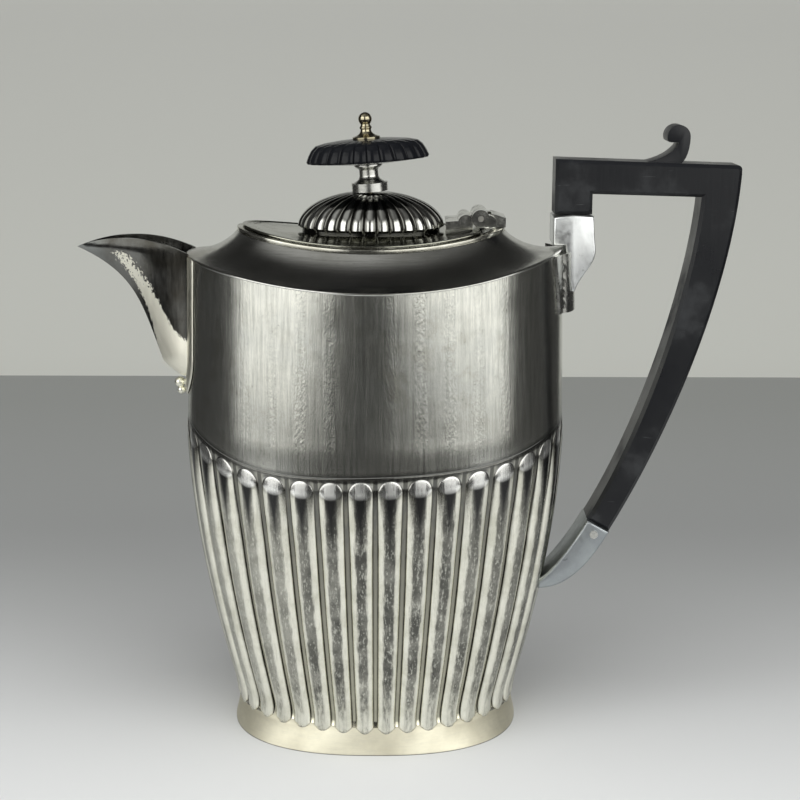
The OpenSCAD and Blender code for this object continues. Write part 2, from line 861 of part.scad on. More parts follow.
module lower_handle_pin() {
    color([0.8, 0.79, 0.7])
    union() {
        cross_bar(lower_pin[0], lower_pin[1], pin_r, socket_w + 0.2);
        for (side = [-1, 1])
            translate([lower_pin[0], side * (socket_w / 2 + touch + 0.35), lower_pin[1]])
            cross_bar(0, 0, rivet_r, 0.7);
    }
}

// ---- Hinge ----

dome_a = dome_w / 2;
dome_b = dome_d / 2;
lid_ground = rim_z(0) - ground_drop;
hinge_x = neck_a - neck_shift - hinge_in;
hinge_z = rim_z(0) + hinge_up;
lid_cut = 0.3;
sweep_r = knuckle_r + leaf_gap;
leaf_seat = rim_z(0) + touch;
leaf_back = neck_a - neck_shift - 0.1;
knuckle_gap = 0.3;
body_knuckle_w = (hinge_w - lid_knuckle_w) / 2 - knuckle_gap;
module pin_bore() {
    cross_bar(hinge_x, hinge_z, hinge_pin_r + pin_gap, hinge_w + 2);
}
module body_hinge_leaf() {
    color([0.72, 0.72, 0.7])
    difference() {
        union() {
            for (side = [-1, 1])
                translate([0, side * (hinge_w - body_knuckle_w) / 2, 0]) {
                    cross_bar(hinge_x, hinge_z, knuckle_r, body_knuckle_w);
                    intersection() {
                        cross_bar(hinge_x + 2.9, hinge_z - 1.2, 2.4, body_knuckle_w);
                        translate([hinge_x, -hinge_w, leaf_seat]) cube([20, 2 * hinge_w, 20]);
                    }
                }
            slab([
                [hinge_x + sweep_r + 0.4, leaf_seat],
                [leaf_back, leaf_seat],
                [leaf_back, hinge_z + 0.1],
                [hinge_x + sweep_r + 0.4, hinge_z + 1.6]
            ], hinge_w * 0.72);
        }
        pin_bore();
        cross_bar(hinge_x, hinge_z, sweep_r, lid_knuckle_w + 2 * knuckle_gap - touch);
    }
}
module hinge_pin() {
    color([0.5, 0.5, 0.48])
    cross_bar(hinge_x, hinge_z, hinge_pin_r, hinge_w + 0.4);
}
leaf_low = lid_ground + lid_gap + 1;
module lid_hinge_leaf() {
    color([0.7, 0.7, 0.67])
    difference() {
        union() {
            difference() {
                union() {
                    slab([
                        [dome_a - neck_shift + 0.3, leaf_low],
                        [hinge_x - sweep_r + 0.6, leaf_low],
                        [hinge_x - sweep_r + 0.6, hinge_z - 0.4],
                        [dome_a - neck_shift + 0.3, hinge_z - 1]
                    ], hinge_w);
                    intersection() {
                        cross_bar(hinge_x - 5.2, hinge_z - 1.2, 2.6, hinge_w);
                        translate([hinge_x - 20, -hinge_w, leaf_low])
                            cube([20, 2 * hinge_w, 20]);
                    }
                }
                cross_bar(hinge_x, hinge_z, sweep_r, hinge_w + 2);
            }
            cross_bar(hinge_x, hinge_z, knuckle_r, lid_knuckle_w);
            slab([
                [hinge_x - 4.6, hinge_z - 2.8],
                [hinge_x - 1.5, hinge_z - 2.6],
                [hinge_x - 1.5, hinge_z + 1.2],
                [hinge_x - 4.6, hinge_z + 0.4]
            ], lid_knuckle_w);
        }
        pin_bore();
    }
}

// ---- Lid ----

bezel_in = rim_w + bezel_gap;
bezel_t = wall;
dome_foot_in = 1.6;
function lid_section(gap) =
    let (
        step = lid_inset + bead_w + 0.4,
        mid_a = (neck_a - step + dome_a) / 2,
        mid_b = (neck_b - step + dome_b) / 2,
        mid_z = (neck_z + lid_gap + bead_h - 0.45 + lid_ground) / 2 - 0.3,
        in = dome_foot_in + 1.8
    )
    [
        neck_row(lid_inset, gap),
        neck_row(lid_inset, lid_gap + bead_h),
        neck_row(lid_inset + bead_w, lid_gap + bead_h),
        neck_row(step, lid_gap + bead_h - 0.45),
        [mid_a, mid_b, neck_shift, mid_z, neck_rise / 2, 0],
        [dome_a - 0.6, dome_b - 0.6, neck_shift, lid_ground, 0, 0],
        [dome_a - in, dome_b - in, neck_shift, lid_ground, 0, 0],
        [dome_a - in, dome_b - in, neck_shift, lid_ground - lid_t, 0, 0],
        [dome_a - 0.6, dome_b - 0.6, neck_shift, lid_ground - lid_t, 0, 0],
        [mid_a, mid_b, neck_shift, mid_z - lid_t, neck_rise / 2, 0],
        neck_row(bezel_in + bezel_t, lid_gap - 0.65),
        neck_row(bezel_in + bezel_t, gap)
    ];
module lid_plate() {
    color([0.68, 0.67, 0.64])
    difference() {
        oval_ring(lid_section(lid_gap), smooth_columns);
        translate([hinge_x - lid_cut, -big / 2, 0]) cube([big, big, 2 * big]);
        cross_bar(hinge_x, hinge_z, sweep_r, 3 * hinge_w);
    }
}
module hinge_seat() {
    color([0.68, 0.67, 0.64])
    difference() {
        oval_ring(lid_section(touch), smooth_columns);
        translate([hinge_x + lid_cut - big, -big / 2, 0]) cube([big, big, 2 * big]);
        cross_bar(hinge_x, hinge_z, sweep_r, 3 * hinge_w);
        translate([0, -hinge_w / 2 - 2 * touch, leaf_seat - touch])
            cube([big, hinge_w + 4 * touch, 20]);
    }
}
module lid_bezel() {
    color([0.6, 0.6, 0.57])
    difference() {
        oval_ring([
            neck_row(bezel_in, -bezel_h),
            neck_row(bezel_in, lid_gap - touch),
            neck_row(bezel_in + bezel_t, lid_gap - touch),
            neck_row(bezel_in + bezel_t, -bezel_h)
        ], smooth_columns);
        translate([hinge_x - 2, -big / 2, 0]) cube([big, big, 2 * big]);
    }
}

dome_edge_z = lid_ground + dome_foot;
dome_top = dome_edge_z + dome_h;
dome_steps = 4;
dome_columns = dome_flutes * dome_steps;
dome_hole = 2;
function dome_point(p, r, s, depth) =
    let (
        off = -dome_flute_depth * (0.3 + 0.7 * r) * (1 - sqrt(1 - s * s)),
        flat = 0.28,
        k = sqrt(1 - r * r) / sqrt(1 - flat * flat)
    )
    [
        (dome_a * r + off - depth * r) * cos(p) - neck_shift,
        (dome_b * r + off - depth * r) * sin(p),
        dome_edge_z + dome_h * k - depth * k
    ];
function dome_column(j) =
    let (
        p = oval_angle(360 * j / dome_columns),
        s = (j % dome_steps) / dome_steps * 2 - 1,
        levels = [1, 0.96, 0.87, 0.72, 0.52, 0.28],
        foot = function(in, z) [
            (dome_a - in) * cos(p) - neck_shift, (dome_b - in) * sin(p), z
        ]
    )
    concat(
        [
            foot(dome_foot_in, lid_ground + touch),
            foot(dome_foot_in, lid_ground + dome_foot * 0.6)
        ],
        [for (r = levels) dome_point(p, r, s, 0)],
        [
            [dome_hole * cos(p) - neck_shift, dome_hole * sin(p), dome_top],
            [dome_hole * cos(p) - neck_shift, dome_hole * sin(p), dome_top - lid_t]
        ],
        [for (r = reverse([for (k = [1 : 5]) levels[k]])) dome_point(p, r, s, lid_t)],
        [
            foot(dome_foot_in + lid_t, lid_ground + dome_foot * 0.6),
            foot(dome_foot_in + lid_t, lid_ground + touch)
        ]
    );
module lid_dome() {
    color([0.55, 0.55, 0.53])
    ring_of([for (j = [0 : dome_columns - 1]) dome_column(j)]);
}

// ---- Finial ----

finial_in = 0.3;
spool_lift = spool_base_r * sin(finial_lean) + touch;
disc_z = spool_lift + spool_h + touch;
nut_z = disc_z + disc_h + touch;
module on_dome() {
    translate([-neck_shift - finial_in, 0, dome_top]) rotate([0, -finial_lean, 0]) children();
}
module stud_bore(from, to) {
    translate([0, 0, from]) cylinder(r = stud_r + pin_gap, h = to - from, $fn = 48);
}
module finial_spool() {
    drum = 2.9;
    color([0.75, 0.73, 0.66])
    on_dome()
    difference() {
        translate([0, 0, spool_lift])
            rotate_extrude($fn = 64)
            polygon(concat(
                [[0, 0], [spool_base_r, 0], [spool_base_r, drum], [spool_base_r - 0.5, drum]],
                curve(
                    [spool_base_r - 0.9, drum + 0.2], [spool_waist_r, drum + 1.2],
                    [spool_waist_r, drum + 2], [spool_waist_r, drum + 3.2], 6
                ),
                curve(
                    [spool_waist_r, drum + 4.4], [spool_waist_r + 0.2, spool_h - 1.2],
                    [spool_top_r - 0.4, spool_h - 1], [spool_top_r, spool_h - 0.4], 6
                ),
                [[spool_top_r, spool_h], [0, spool_h]]
            ));
        stud_bore(-1, spool_lift + spool_h + 1);
    }
}

disc_a = disc_w / 2;
disc_b = disc_d / 2;
disc_steps = 4;
disc_columns = disc_flutes * disc_steps;
disc_groove = 0.9;
disc_mid_r = 5;
// Profile of the disc: [share of its radius, share of its height, depth of the flutes]
disc_side = disc_h - disc_belly;
disc_profile = [
    [0.62, disc_belly * 0.45, 0],
    [0.985, disc_belly - 0.1, 0.8],
    [1, disc_belly + 0.5, 1],
    [0.96, disc_belly + disc_side * 0.35, 1],
    [0.91, disc_belly + disc_side * 0.6, 1],
    [0.84, disc_belly + disc_side * 0.78, 0.9],
    [0.7, disc_belly + disc_side * 0.88, 0.6],
    [0.46, disc_belly + disc_side * 0.96, 0.2]
];
module knob_disc() {
    color([0.05, 0.05, 0.055])
    on_dome()
    difference() {
        translate([0, 0, disc_z])
        pile_of(concat(
            [[
                for (j = [0 : disc_columns - 1])
                    let (p = oval_angle(360 * j / disc_columns))
                    [disc_mid_r * cos(p), disc_mid_r * sin(p), 0]
            ]],
            [
                for (row = disc_profile)
                    [
                        for (j = [0 : disc_columns - 1])
                            let (
                                p = oval_angle(360 * j / disc_columns),
                                s = (j % disc_steps) / disc_steps * 2 - 1,
                                off = -disc_groove * row[2] * (1 - sqrt(1 - s * s))
                            )
                            [
                                (disc_a * row[0] + off) * cos(p),
                                (disc_b * row[0] + off) * sin(p),
                                row[1]
                            ]
                    ]
            ],
            [[
                for (j = [0 : disc_columns - 1])
                    let (p = oval_angle(360 * j / disc_columns))
                    [disc_mid_r * cos(p), disc_mid_r * sin(p), disc_h]
            ]]
        ));
        stud_bore(disc_z - 1, disc_z + disc_h + 1);
    }
}

nut_hole = 4.6;
module finial_nut() {
    ball_z = nut_h - ball_r;
    bead_z = ball_z - ball_r - 0.6;
    color([0.75, 0.64, 0.38])
    on_dome()
    difference() {
        translate([0, 0, nut_z])
            rotate_extrude($fn = 64)
            polygon(concat(
                [[0, 0], [nut_base_r, 0], [nut_base_r, 0.6]],
                curve(
                    [nut_base_r - 0.8, 0.9], [ball_r + 0.4, 1.2],
                    [ball_r - 0.4, 2], [ball_r - 0.5, bead_z - 0.9], 6
                ),
                arc([ball_r - 0.9, bead_z], 0.7, -60, 60, 5),
                arc([0, ball_z], ball_r, -48, 90, 12)
            ));
        stud_bore(nut_z - 1, nut_z + nut_hole);
    }
}
lock_z = lid_t + 3.4 * sin(finial_lean) + touch;
lock_h = 2.6;
module finial_stud() {
    color([0.6, 0.58, 0.5])
    on_dome()
    translate([0, 0, -lock_z - lock_h - 1])
    cylinder(r = stud_r, h = lock_z + lock_h + nut_z + nut_hole + 0.9, $fn = 48);
}
module finial_lock_nut() {
    color([0.6, 0.58, 0.5])
    on_dome()
    difference() {
        translate([0, 0, -lock_z - lock_h]) cylinder(r = 3.4, h = lock_h, $fn = 6);
        stud_bore(-lock_z - lock_h - 1, 0);
    }
}

body_shell();
base_plate();
foot_rim();
shoulder();
neck_rim();
spout();
spout_seam_wire();
spout_drop();
upper_handle_socket();
upper_socket_tail();
lower_handle_socket();
handle();
upper_handle_pin();
lower_handle_pin();
hinge_seat();
body_hinge_leaf();
hinge_pin();
lid_plate();
lid_bezel();
lid_dome();
lid_hinge_leaf();
finial_spool();
knob_disc();
finial_nut();
finial_stud();
finial_lock_nut();
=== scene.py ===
"""Looks of the half-fluted oval coffee pot: dressed meshes, materials, stage and camera."""
import math

import bmesh
import bpy
import numpy as np
from mathutils import Matrix, Vector


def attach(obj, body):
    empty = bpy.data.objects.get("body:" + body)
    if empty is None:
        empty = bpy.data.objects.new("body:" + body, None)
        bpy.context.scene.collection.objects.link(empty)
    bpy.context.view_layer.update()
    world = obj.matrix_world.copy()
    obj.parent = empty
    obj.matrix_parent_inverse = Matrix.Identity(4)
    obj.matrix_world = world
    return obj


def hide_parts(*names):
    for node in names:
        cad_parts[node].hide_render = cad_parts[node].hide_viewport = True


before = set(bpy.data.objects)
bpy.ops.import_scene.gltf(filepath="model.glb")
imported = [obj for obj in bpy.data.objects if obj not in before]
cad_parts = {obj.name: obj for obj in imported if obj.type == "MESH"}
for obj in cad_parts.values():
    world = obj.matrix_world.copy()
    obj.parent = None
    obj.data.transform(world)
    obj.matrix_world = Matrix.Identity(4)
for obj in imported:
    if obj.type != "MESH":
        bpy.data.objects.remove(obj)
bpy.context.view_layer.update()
scene = bpy.context.scene
scene.view_settings.view_transform = "Standard"
MM = 0.001
TOUCH = 0.02
BUMP_DEPTH = 0.0002

# ---- Design values, in millimetres and degrees ----
BAND_A, BAND_B = 65.8, 49.2
BELLY_A, BELLY_B, BELLY_Z = 67.2, 50.6, 112.0
WAIST_A, WAIST_B = 49.2, 39.3
FOOT_A, FOOT_B, FOOT_H, FOOT_EDGE, FOOT_POWER = 51.8, 42.2, 6.5, 1.6, 2.4
FOOT_SLOPE, FOOT_TOP = 0.2, 9.6
SHOULDER_Z, SHOULDER_RISE, SHOULDER_LEAN = 165.3, 8.5, 1.4
DENT, DENT_ANGLE = 2.2, 22.0
WALL, SEAT_H = 1.2, 0.8
FLUTES, FLUTE_TURN, FLUTE_DEPTH, FLUTE_PROUD = 36, 0.8, 1.8, 0.42
FLUTE_SPREAD, SPREAD_H = 1.1, 9.0
HEAD_Z, HEAD_RISE, HEAD_LEAN, HEAD_R = 102.2, 11.4, 2.4, 4.3
NECK_A, NECK_B, NECK_SHIFT = 46.95, 31.3, 1.4
NECK_Z, NECK_RISE, RIM_W, RIM_H = 176.95, 4.65, 4.1, 1.5
HOLLOW_DROP, FLANK_DROP = 9.2, 5.7
LID_GAP, LID_INSET, BEAD_H, BEAD_W, LID_T = 0.3, 1.95, 0.6, 1.5, 0.9
BEZEL_IN, LID_ROUND, LID_COLUMNS = 4.7, 0.28, 288
DOME_A, DOME_B, DOME_H, DOME_FOOT = 25.7, 19.0, 11.9, 1.4
DOME_FLUTES, DOME_FLUTE_DEPTH, DOME_STEPS, DOME_FLAT = 30, 0.9, 20, 0.28
LID_GROUND = NECK_Z + NECK_RISE - 1.8
HINGE_X, HINGE_Z, SWEEP_R, HINGE_W, SWEEP_W = 36.65, 184.8, 3.4, 18.0, 54
FINIAL_LEAN, FINIAL_IN, SPOOL_BASE_R, SPOOL_H = 4.0, 0.3, 6.25, 9.2
SPOUT_REACH, SPOUT_H, TIP_UP, SPOUT_W, SPOUT_T = 104.9, 46.3, 1.4, 20.0, 1.1
LIP_ARCH, SPOUT_ROUND, PLAN_POWER, LOWER_BULGE = 4.4, 9.0, 1.6, 8.4
SEAM_W, SEAM_T, SEAM_GAP = 6.4, 0.9, 0.12
HANDLE_T, BEVEL, HANDLE_REACH, HANDLE_RISE = 14.0, 1.2, 126.7, 30.0
TOP_Z = SHOULDER_Z + SHOULDER_RISE
HANDLE_END_Z = TOP_Z + SHOULDER_LEAN


def rad(t):
    return t * math.pi / 180


EVEN = (BELLY_A - BELLY_B) / (BELLY_A + BELLY_B) / 2


def oval_angle(t):
    """Angle on the oval, in radians, for a turn t that walks equal distances."""
    return t + EVEN * np.sin(2 * t)


def edge_z(p):
    c = np.cos(p)
    return (
        SHOULDER_Z + c**2 * (SHOULDER_RISE + SHOULDER_LEAN * c)
        - DENT * np.maximum(0, np.cos(p - rad(DENT_ANGLE))) ** 16
    )


def rim_z(p):
    return NECK_Z + NECK_RISE * np.cos(p) ** 2


def draw_in(z):
    return np.maximum(0, (BELLY_Z - z) / (BELLY_Z - FOOT_H)) ** 1.75


def draw_up(z):
    return np.maximum(0, z - BELLY_Z) / (TOP_Z - BELLY_Z)


def half_w(z):
    return BELLY_A - (BELLY_A - WAIST_A) * draw_in(z) - (BELLY_A - BAND_A) * draw_up(z)


def half_d(z):
    return BELLY_B - (BELLY_B - WAIST_B) * draw_in(z) - (BELLY_B - BAND_B) * draw_up(z)


def body_x(y, z):
    return half_w(z) * np.sqrt(1 - (y / half_d(z)) ** 2)


# ---- Mesh helpers ----


def add_object(name, mesh, body, nodes, material, sharp=35):
    mesh.validate()
    mesh.polygons.foreach_set("use_smooth", [True] * len(mesh.polygons))
    mesh.set_sharp_from_angle(angle=rad(sharp))
    mesh.materials.append(material)
    obj = bpy.data.objects.new(name, mesh)
    scene.collection.objects.link(obj)
    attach(obj, body)
    if nodes:
        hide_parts(*nodes)
    return obj


def grid_mesh(name, points, wrap_u, wrap_v, ends=False):
    """Mesh over a grid of points [u, v, 3] in mm; ends closes the first and last columns."""
    m, n = points.shape[:2]
    iu = np.arange(m if wrap_u else m - 1)
    iv = np.arange(n if wrap_v else n - 1)
    a = iu[:, None] * n + iv[None, :]
    b = iu[:, None] * n + (iv[None, :] + 1) % n
    c = ((iu[:, None] + 1) % m) * n + (iv[None, :] + 1) % n
    d = ((iu[:, None] + 1) % m) * n + iv[None, :]
    faces = np.stack([a, b, c, d], -1).reshape(-1, 4).tolist()
    if ends:
        faces += [list(range(n)), [(m - 1) * n + k for k in range(n - 1, -1, -1)]]
    mesh = bpy.data.meshes.new(name)
    mesh.from_pydata((points.reshape(-1, 3) * MM).tolist(), [], faces)
    outward(mesh)
    return mesh


def outward(mesh):
    bm = bmesh.new()
    bm.from_mesh(mesh)
    bmesh.ops.recalc_face_normals(bm, faces=bm.faces)
    bm.to_mesh(mesh)
    bm.free()


def set_attribute(mesh, name, values):
    layer = mesh.attributes.new(name, "FLOAT", "POINT")
    layer.data.foreach_set("value", np.asarray(values, np.float32).ravel())


def turn(n):
    """Angles on the oval, in radians, of n columns at equal distances."""
    return oval_angle(np.arange(n) * 2 * math.pi / n)


def curve(a, b, c, d, steps):
    t = np.linspace(0, 1, steps + 1)[:, None]
    a, b, c, d = (np.asarray(x, float) for x in (a, b, c, d))
    u = 1 - t
    return u**3 * a + 3 * u * u * t * b + 3 * u * t * t * c + t**3 * d


def path(*values):
    return [tuple(x) for x in curve(*values)]


def arc(c, r, start, end, steps):
    t = np.radians(np.linspace(start, end, steps + 1))[:, None]
    return np.asarray(c, float) + r * np.hstack([np.cos(t), np.sin(t)])


def slab_mesh(name, outline, thick, bevel, segments=3):
    """Outline in X and Z, made thick along Y, with bevelled edges along both faces."""
    pts = np.asarray(outline, float)
    n = len(pts)
    bm = bmesh.new()
    near = [bm.verts.new((x * MM, -thick / 2 * MM, z * MM)) for x, z in pts]
    far = [bm.verts.new((x * MM, thick / 2 * MM, z * MM)) for x, z in pts]
    bm.faces.new(near)
    bm.faces.new(far[::-1])
    for i in range(n):
        k = (i + 1) % n
        bm.faces.new((near[k], near[i], far[i], far[k]))
    bmesh.ops.recalc_face_normals(bm, faces=bm.faces)
    bm.edges.ensure_lookup_table()
    rims = [e for e in bm.edges if abs(e.verts[0].co.y - e.verts[1].co.y) < 1e-7]
    bmesh.ops.bevel(
        bm, geom=rims, offset=bevel * MM, segments=segments, profile=0.5, affect="EDGES",
        offset_type="OFFSET", clamp_overlap=True,
    )
    bmesh.ops.recalc_face_normals(bm, faces=bm.faces)
    mesh = bpy.data.meshes.new(name)
    bm.to_mesh(mesh)
    bm.free()
    return mesh


# ---- Materials ----


class Graph:
    """A material's node tree, with short calls for the nodes used here."""

    def __init__(self, name):
        self.material = bpy.data.materials.new(name)
        self.material.use_nodes = True
        self.tree = self.material.node_tree
        self.shader = self.tree.nodes["Principled BSDF"]
        self.place = self.node("ShaderNodeTexCoord").outputs["Object"]

    def node(self, kind, **values):
        made = self.tree.nodes.new(kind)
        for key, value in values.items():
            setattr(made, key, value)
        return made

    def plug(self, value, socket):
        if isinstance(value, bpy.types.NodeSocket):
            self.tree.links.new(value, socket)
        elif value is not None:
            socket.default_value = value

    def noise(self, scale, stretch=(1, 1, 1), detail=4, rough=0.55, distort=0.0):
        mapping = self.node("ShaderNodeMapping")
        mapping.inputs["Scale"].default_value = stretch
        self.plug(self.place, mapping.inputs["Vector"])
        tex = self.node("ShaderNodeTexNoise")
        self.plug(mapping.outputs["Vector"], tex.inputs["Vector"])
        for key, value in (
            ("Scale", scale), ("Detail", detail), ("Roughness", rough), ("Distortion", distort)
        ):
            tex.inputs[key].default_value = value
        return tex.outputs["Fac"]

    def spread(self, value, low, high, out_low=0.0, out_high=1.0, smooth=False):
        made = self.node("ShaderNodeMapRange")
        made.interpolation_type = "SMOOTHSTEP" if smooth else "LINEAR"
        self.plug(value, made.inputs["Value"])
        for key, number in (
            ("From Min", low), ("From Max", high), ("To Min", out_low), ("To Max", out_high)
        ):
            made.inputs[key].default_value = number
        return made.outputs["Result"]

    def math(self, kind, a, b=None):
        made = self.node("ShaderNodeMath", operation=kind)
        self.plug(a, made.inputs[0])
        self.plug(b, made.inputs[1])
        return made.outputs[0]

    def scaled(self, value, middle, amount):
        """The value less its middle, times the amount."""
        return self.math("MULTIPLY", self.math("SUBTRACT", value, middle), amount)

    def mix(self, share, a, b):
        made = self.node("ShaderNodeMix", data_type="RGBA")
        self.plug(share, made.inputs["Factor"])
        self.plug(a, made.inputs[6])
        self.plug(b, made.inputs[7])
        return made.outputs[2]

    def tones(self, value, low, high, a, b):
        """Colour a where the value is low and b where it is high, with a smooth way between."""
        return self.mix(self.spread(value, low, high, smooth=True), rgb(*a), rgb(*b))

    def attribute(self, name):
        return self.node("ShaderNodeAttribute", attribute_name=name).outputs["Fac"]

    def axis(self, which):
        split = self.node("ShaderNodeSeparateXYZ")
        self.plug(self.place, split.inputs[0])
        return split.outputs[which]

    def bump(self, height, strength):
        made = self.node("ShaderNodeBump")
        made.inputs["Strength"].default_value = strength
        made.inputs["Distance"].default_value = BUMP_DEPTH
        self.plug(height, made.inputs["Height"])
        self.plug(made.outputs["Normal"], self.shader.inputs["Normal"])

    def finish(self, colour, roughness, metallic):
        self.plug(colour, self.shader.inputs["Base Color"])
        self.plug(roughness, self.shader.inputs["Roughness"])
        self.plug(metallic, self.shader.inputs["Metallic"])
        return self.material


def rgb(r, g, b):
    return (r, g, b, 1.0)


def plate(name, light, dark, rough, lines=(900, 900, 60), fleck=0.5, cloud=55):
    """Worn silver plate: fine polishing lines, cloudy tarnish and small dark flecks."""
    g = Graph(name)
    clouds = g.noise(cloud, detail=6, rough=0.6)
    brush = g.noise(1.0, lines, detail=3, rough=0.7)
    specks = g.noise(700, detail=2, rough=0.5)
    colour = g.tones(clouds, 0.38, 0.72, light, dark)
    flecks = g.math("MULTIPLY", g.spread(specks, 0.66, 0.74), g.spread(clouds, 0.45, 0.6))
    flecks = g.math("MULTIPLY", flecks, fleck)
    colour = g.mix(flecks, colour, rgb(dark[0] * 0.35, dark[1] * 0.34, dark[2] * 0.32))
    roughness = g.math(
        "ADD", g.spread(brush, 0.3, 0.7, rough - 0.06, rough + 0.08),
        g.spread(clouds, 0.45, 0.75, 0.0, 0.12),
    )
    g.bump(g.math("ADD", brush, g.math("MULTIPLY", specks, 0.4)), 0.12)
    return g.finish(colour, roughness, 1.0)


def body_metal():
    """The body: brushed band, worn crests on the flutes and tarnished grooves, with painted light:
    painted highlights on the heads, painted shade above, round and under them and along the foot
    joint, and paler flutes at the sides and on the left.
    """
    g = Graph("silver_body")
    across, below, up = g.attribute("across"), g.attribute("below"), g.attribute("up")
    clouds = g.noise(24, detail=5, rough=0.6)
    cells = g.noise(110, detail=5, rough=0.65)
    brush = g.noise(1.0, (1500, 1500, 55), detail=4, rough=0.75)
    streaks = g.noise(1.0, (800, 800, 45), detail=4, rough=0.65)
    specks = g.noise(1.0, (1500, 1500, 700), detail=2, rough=0.6)
    fibres = g.noise(1.0, (1100, 1100, 120), detail=4, rough=0.7)
    band = g.tones(clouds, 0.35, 0.7, (0.88, 0.88, 0.81), (0.7, 0.71, 0.67))
    band = g.mix(g.spread(streaks, 0.42, 0.68, 0, 0.42), band, rgb(0.42, 0.43, 0.39))
    band = g.mix(g.spread(brush, 0.45, 0.7, 0, 0.3), band, rgb(0.4, 0.4, 0.37))
    patina = g.math("MULTIPLY", g.spread(cells, 0.5, 0.66), g.spread(clouds, 0.4, 0.62))
    band = g.mix(g.math("MULTIPLY", patina, 0.5), band, rgb(0.46, 0.45, 0.38))
    pits = g.math("MULTIPLY", g.spread(specks, 0.66, 0.74), g.spread(cells, 0.48, 0.62))
    band = g.mix(pits, band, rgb(0.2, 0.2, 0.18))
    # Painted shade: the band darkens over its last few millimetres above the heads, where the
    # chased background sinks
    band = g.mix(g.spread(below, -3.4, -1.4, 0, 0.75, True), band, rgb(0.2, 0.2, 0.19))
    side = g.tones(cells, 0.4, 0.7, (0.88, 0.87, 0.77), (0.7, 0.69, 0.59))
    side = g.mix(g.spread(fibres, 0.5, 0.75, 0, 0.45), side, rgb(0.45, 0.44, 0.37))
    frayed = g.math("ADD", across, g.scaled(fibres, 0.5, 0.55))
    crest = g.spread(frayed, 0.28, 0.5, 1, 0, True)
    low = g.math("ADD", up, g.scaled(fibres, 0.5, 60))
    crest = g.math("MULTIPLY", crest, g.spread(low, -4, 22, 0.1, 1, True))
    # Painted light: less dark crest at the pot's sides and on its left, so the flutes there show
    # paler
    painted_side_light = g.spread(g.math("ABSOLUTE", g.math("SUBTRACT", g.axis("X"), 0.003)), 0.018, 0.045)
    crest = g.math("MULTIPLY", crest, g.spread(painted_side_light, 0, 1, 1, 0.85))
    crest = g.math("MULTIPLY", crest, g.spread(g.axis("X"), -0.055, -0.02, 0.6, 1))
    crest = g.math("MULTIPLY", crest, g.spread(cells, 0.3, 0.6, 0.7, 1.0))
    grain = g.math("ADD", g.math("MULTIPLY", specks, 0.5), g.math("MULTIPLY", fibres, 0.5))
    worn = g.mix(g.spread(grain, 0.52, 0.66), rgb(0.11, 0.11, 0.1), rgb(0.6, 0.6, 0.54))
    flute = g.mix(crest, side, worn)
    shade = g.math("ADD", g.math("MULTIPLY", across, 34), below)
    shade = g.spread(shade, 13, 30, 1, 0, True)
    shade = g.math("MULTIPLY", shade, g.spread(across, 0.36, 0.5, 1, 0, True))
    shade = g.math("MULTIPLY", shade, g.spread(below, 3.6, 5.2))
    flute = g.mix(shade, flute, rgb(0.045, 0.045, 0.045))
    fillet = g.mix(g.spread(below, 10, 80), rgb(0.15, 0.15, 0.14), rgb(0.42, 0.41, 0.33))
    fillet = g.mix(g.spread(fibres, 0.45, 0.6, 0, 0.5), fillet, rgb(0.3, 0.29, 0.23))
    flute = g.mix(g.spread(across, 0.83, 0.87), flute, fillet)
    cream = g.math("MULTIPLY", g.spread(up, 4.2, 2.6), g.spread(across, 0.5, 0.8))
    flute = g.mix(cream, flute, rgb(0.8, 0.77, 0.63))
    # Painted highlight on each head: a white round blob, with a painted dark ring of shade round it
    head_highlight_dist = g.math("POWER", g.math("MULTIPLY", across, 1.45), 2.0)
    head_highlight_dist = g.math("ADD", head_highlight_dist, g.math("POWER", g.scaled(below, 3.2, 0.36), 2.0))
    head_highlight_dist = g.math("ADD", head_highlight_dist, g.scaled(cells, 0.5, 0.8))
    head = g.mix(g.spread(head_highlight_dist, 1.05, 1.5), rgb(1.0, 1.0, 0.97), rgb(0.13, 0.13, 0.12))
    on_head = g.math(
        "MULTIPLY", g.spread(below, 4.4, 6.6, 1, 0), g.spread(across, 0.8, 0.5, 0.6, 1)
    )
    flute = g.mix(on_head, flute, head)
    colour = g.mix(g.spread(below, -1.0, 0.3), band, flute)
    # Painted shade: dark lines round the heads, along the chased line and where the body meets the
    # foot
    crease_shade = g.math("MULTIPLY", g.attribute("seam"), g.spread(cells, 0.3, 0.6, 0.7, 1))
    colour = g.mix(crease_shade, colour, rgb(0.05, 0.048, 0.042))
    roughness = g.math(
        "ADD", g.spread(brush, 0.3, 0.7, 0.13, 0.22), g.spread(clouds, 0.4, 0.7, 0, 0.05)
    )
    polish = g.math("ADD", g.spread(brush, 0.3, 0.7, 0.11, 0.2), g.math("MULTIPLY", crest, 0.16))
    polish = g.math("ADD", polish, g.spread(up, 4, 0, 0, 0.2))
    blend = g.node("ShaderNodeMix", data_type="FLOAT")
    g.plug(g.spread(below, -0.4, 0.2), blend.inputs[0])
    g.plug(roughness, blend.inputs[2])
    g.plug(polish, blend.inputs[3])
    coarse = g.math("ADD", g.math("MULTIPLY", crest, 1.4), 0.3)
    g.bump(g.math("ADD", brush, g.math("MULTIPLY", specks, coarse)), 0.12)
    return g.finish(colour, blend.outputs[0], 1.0)


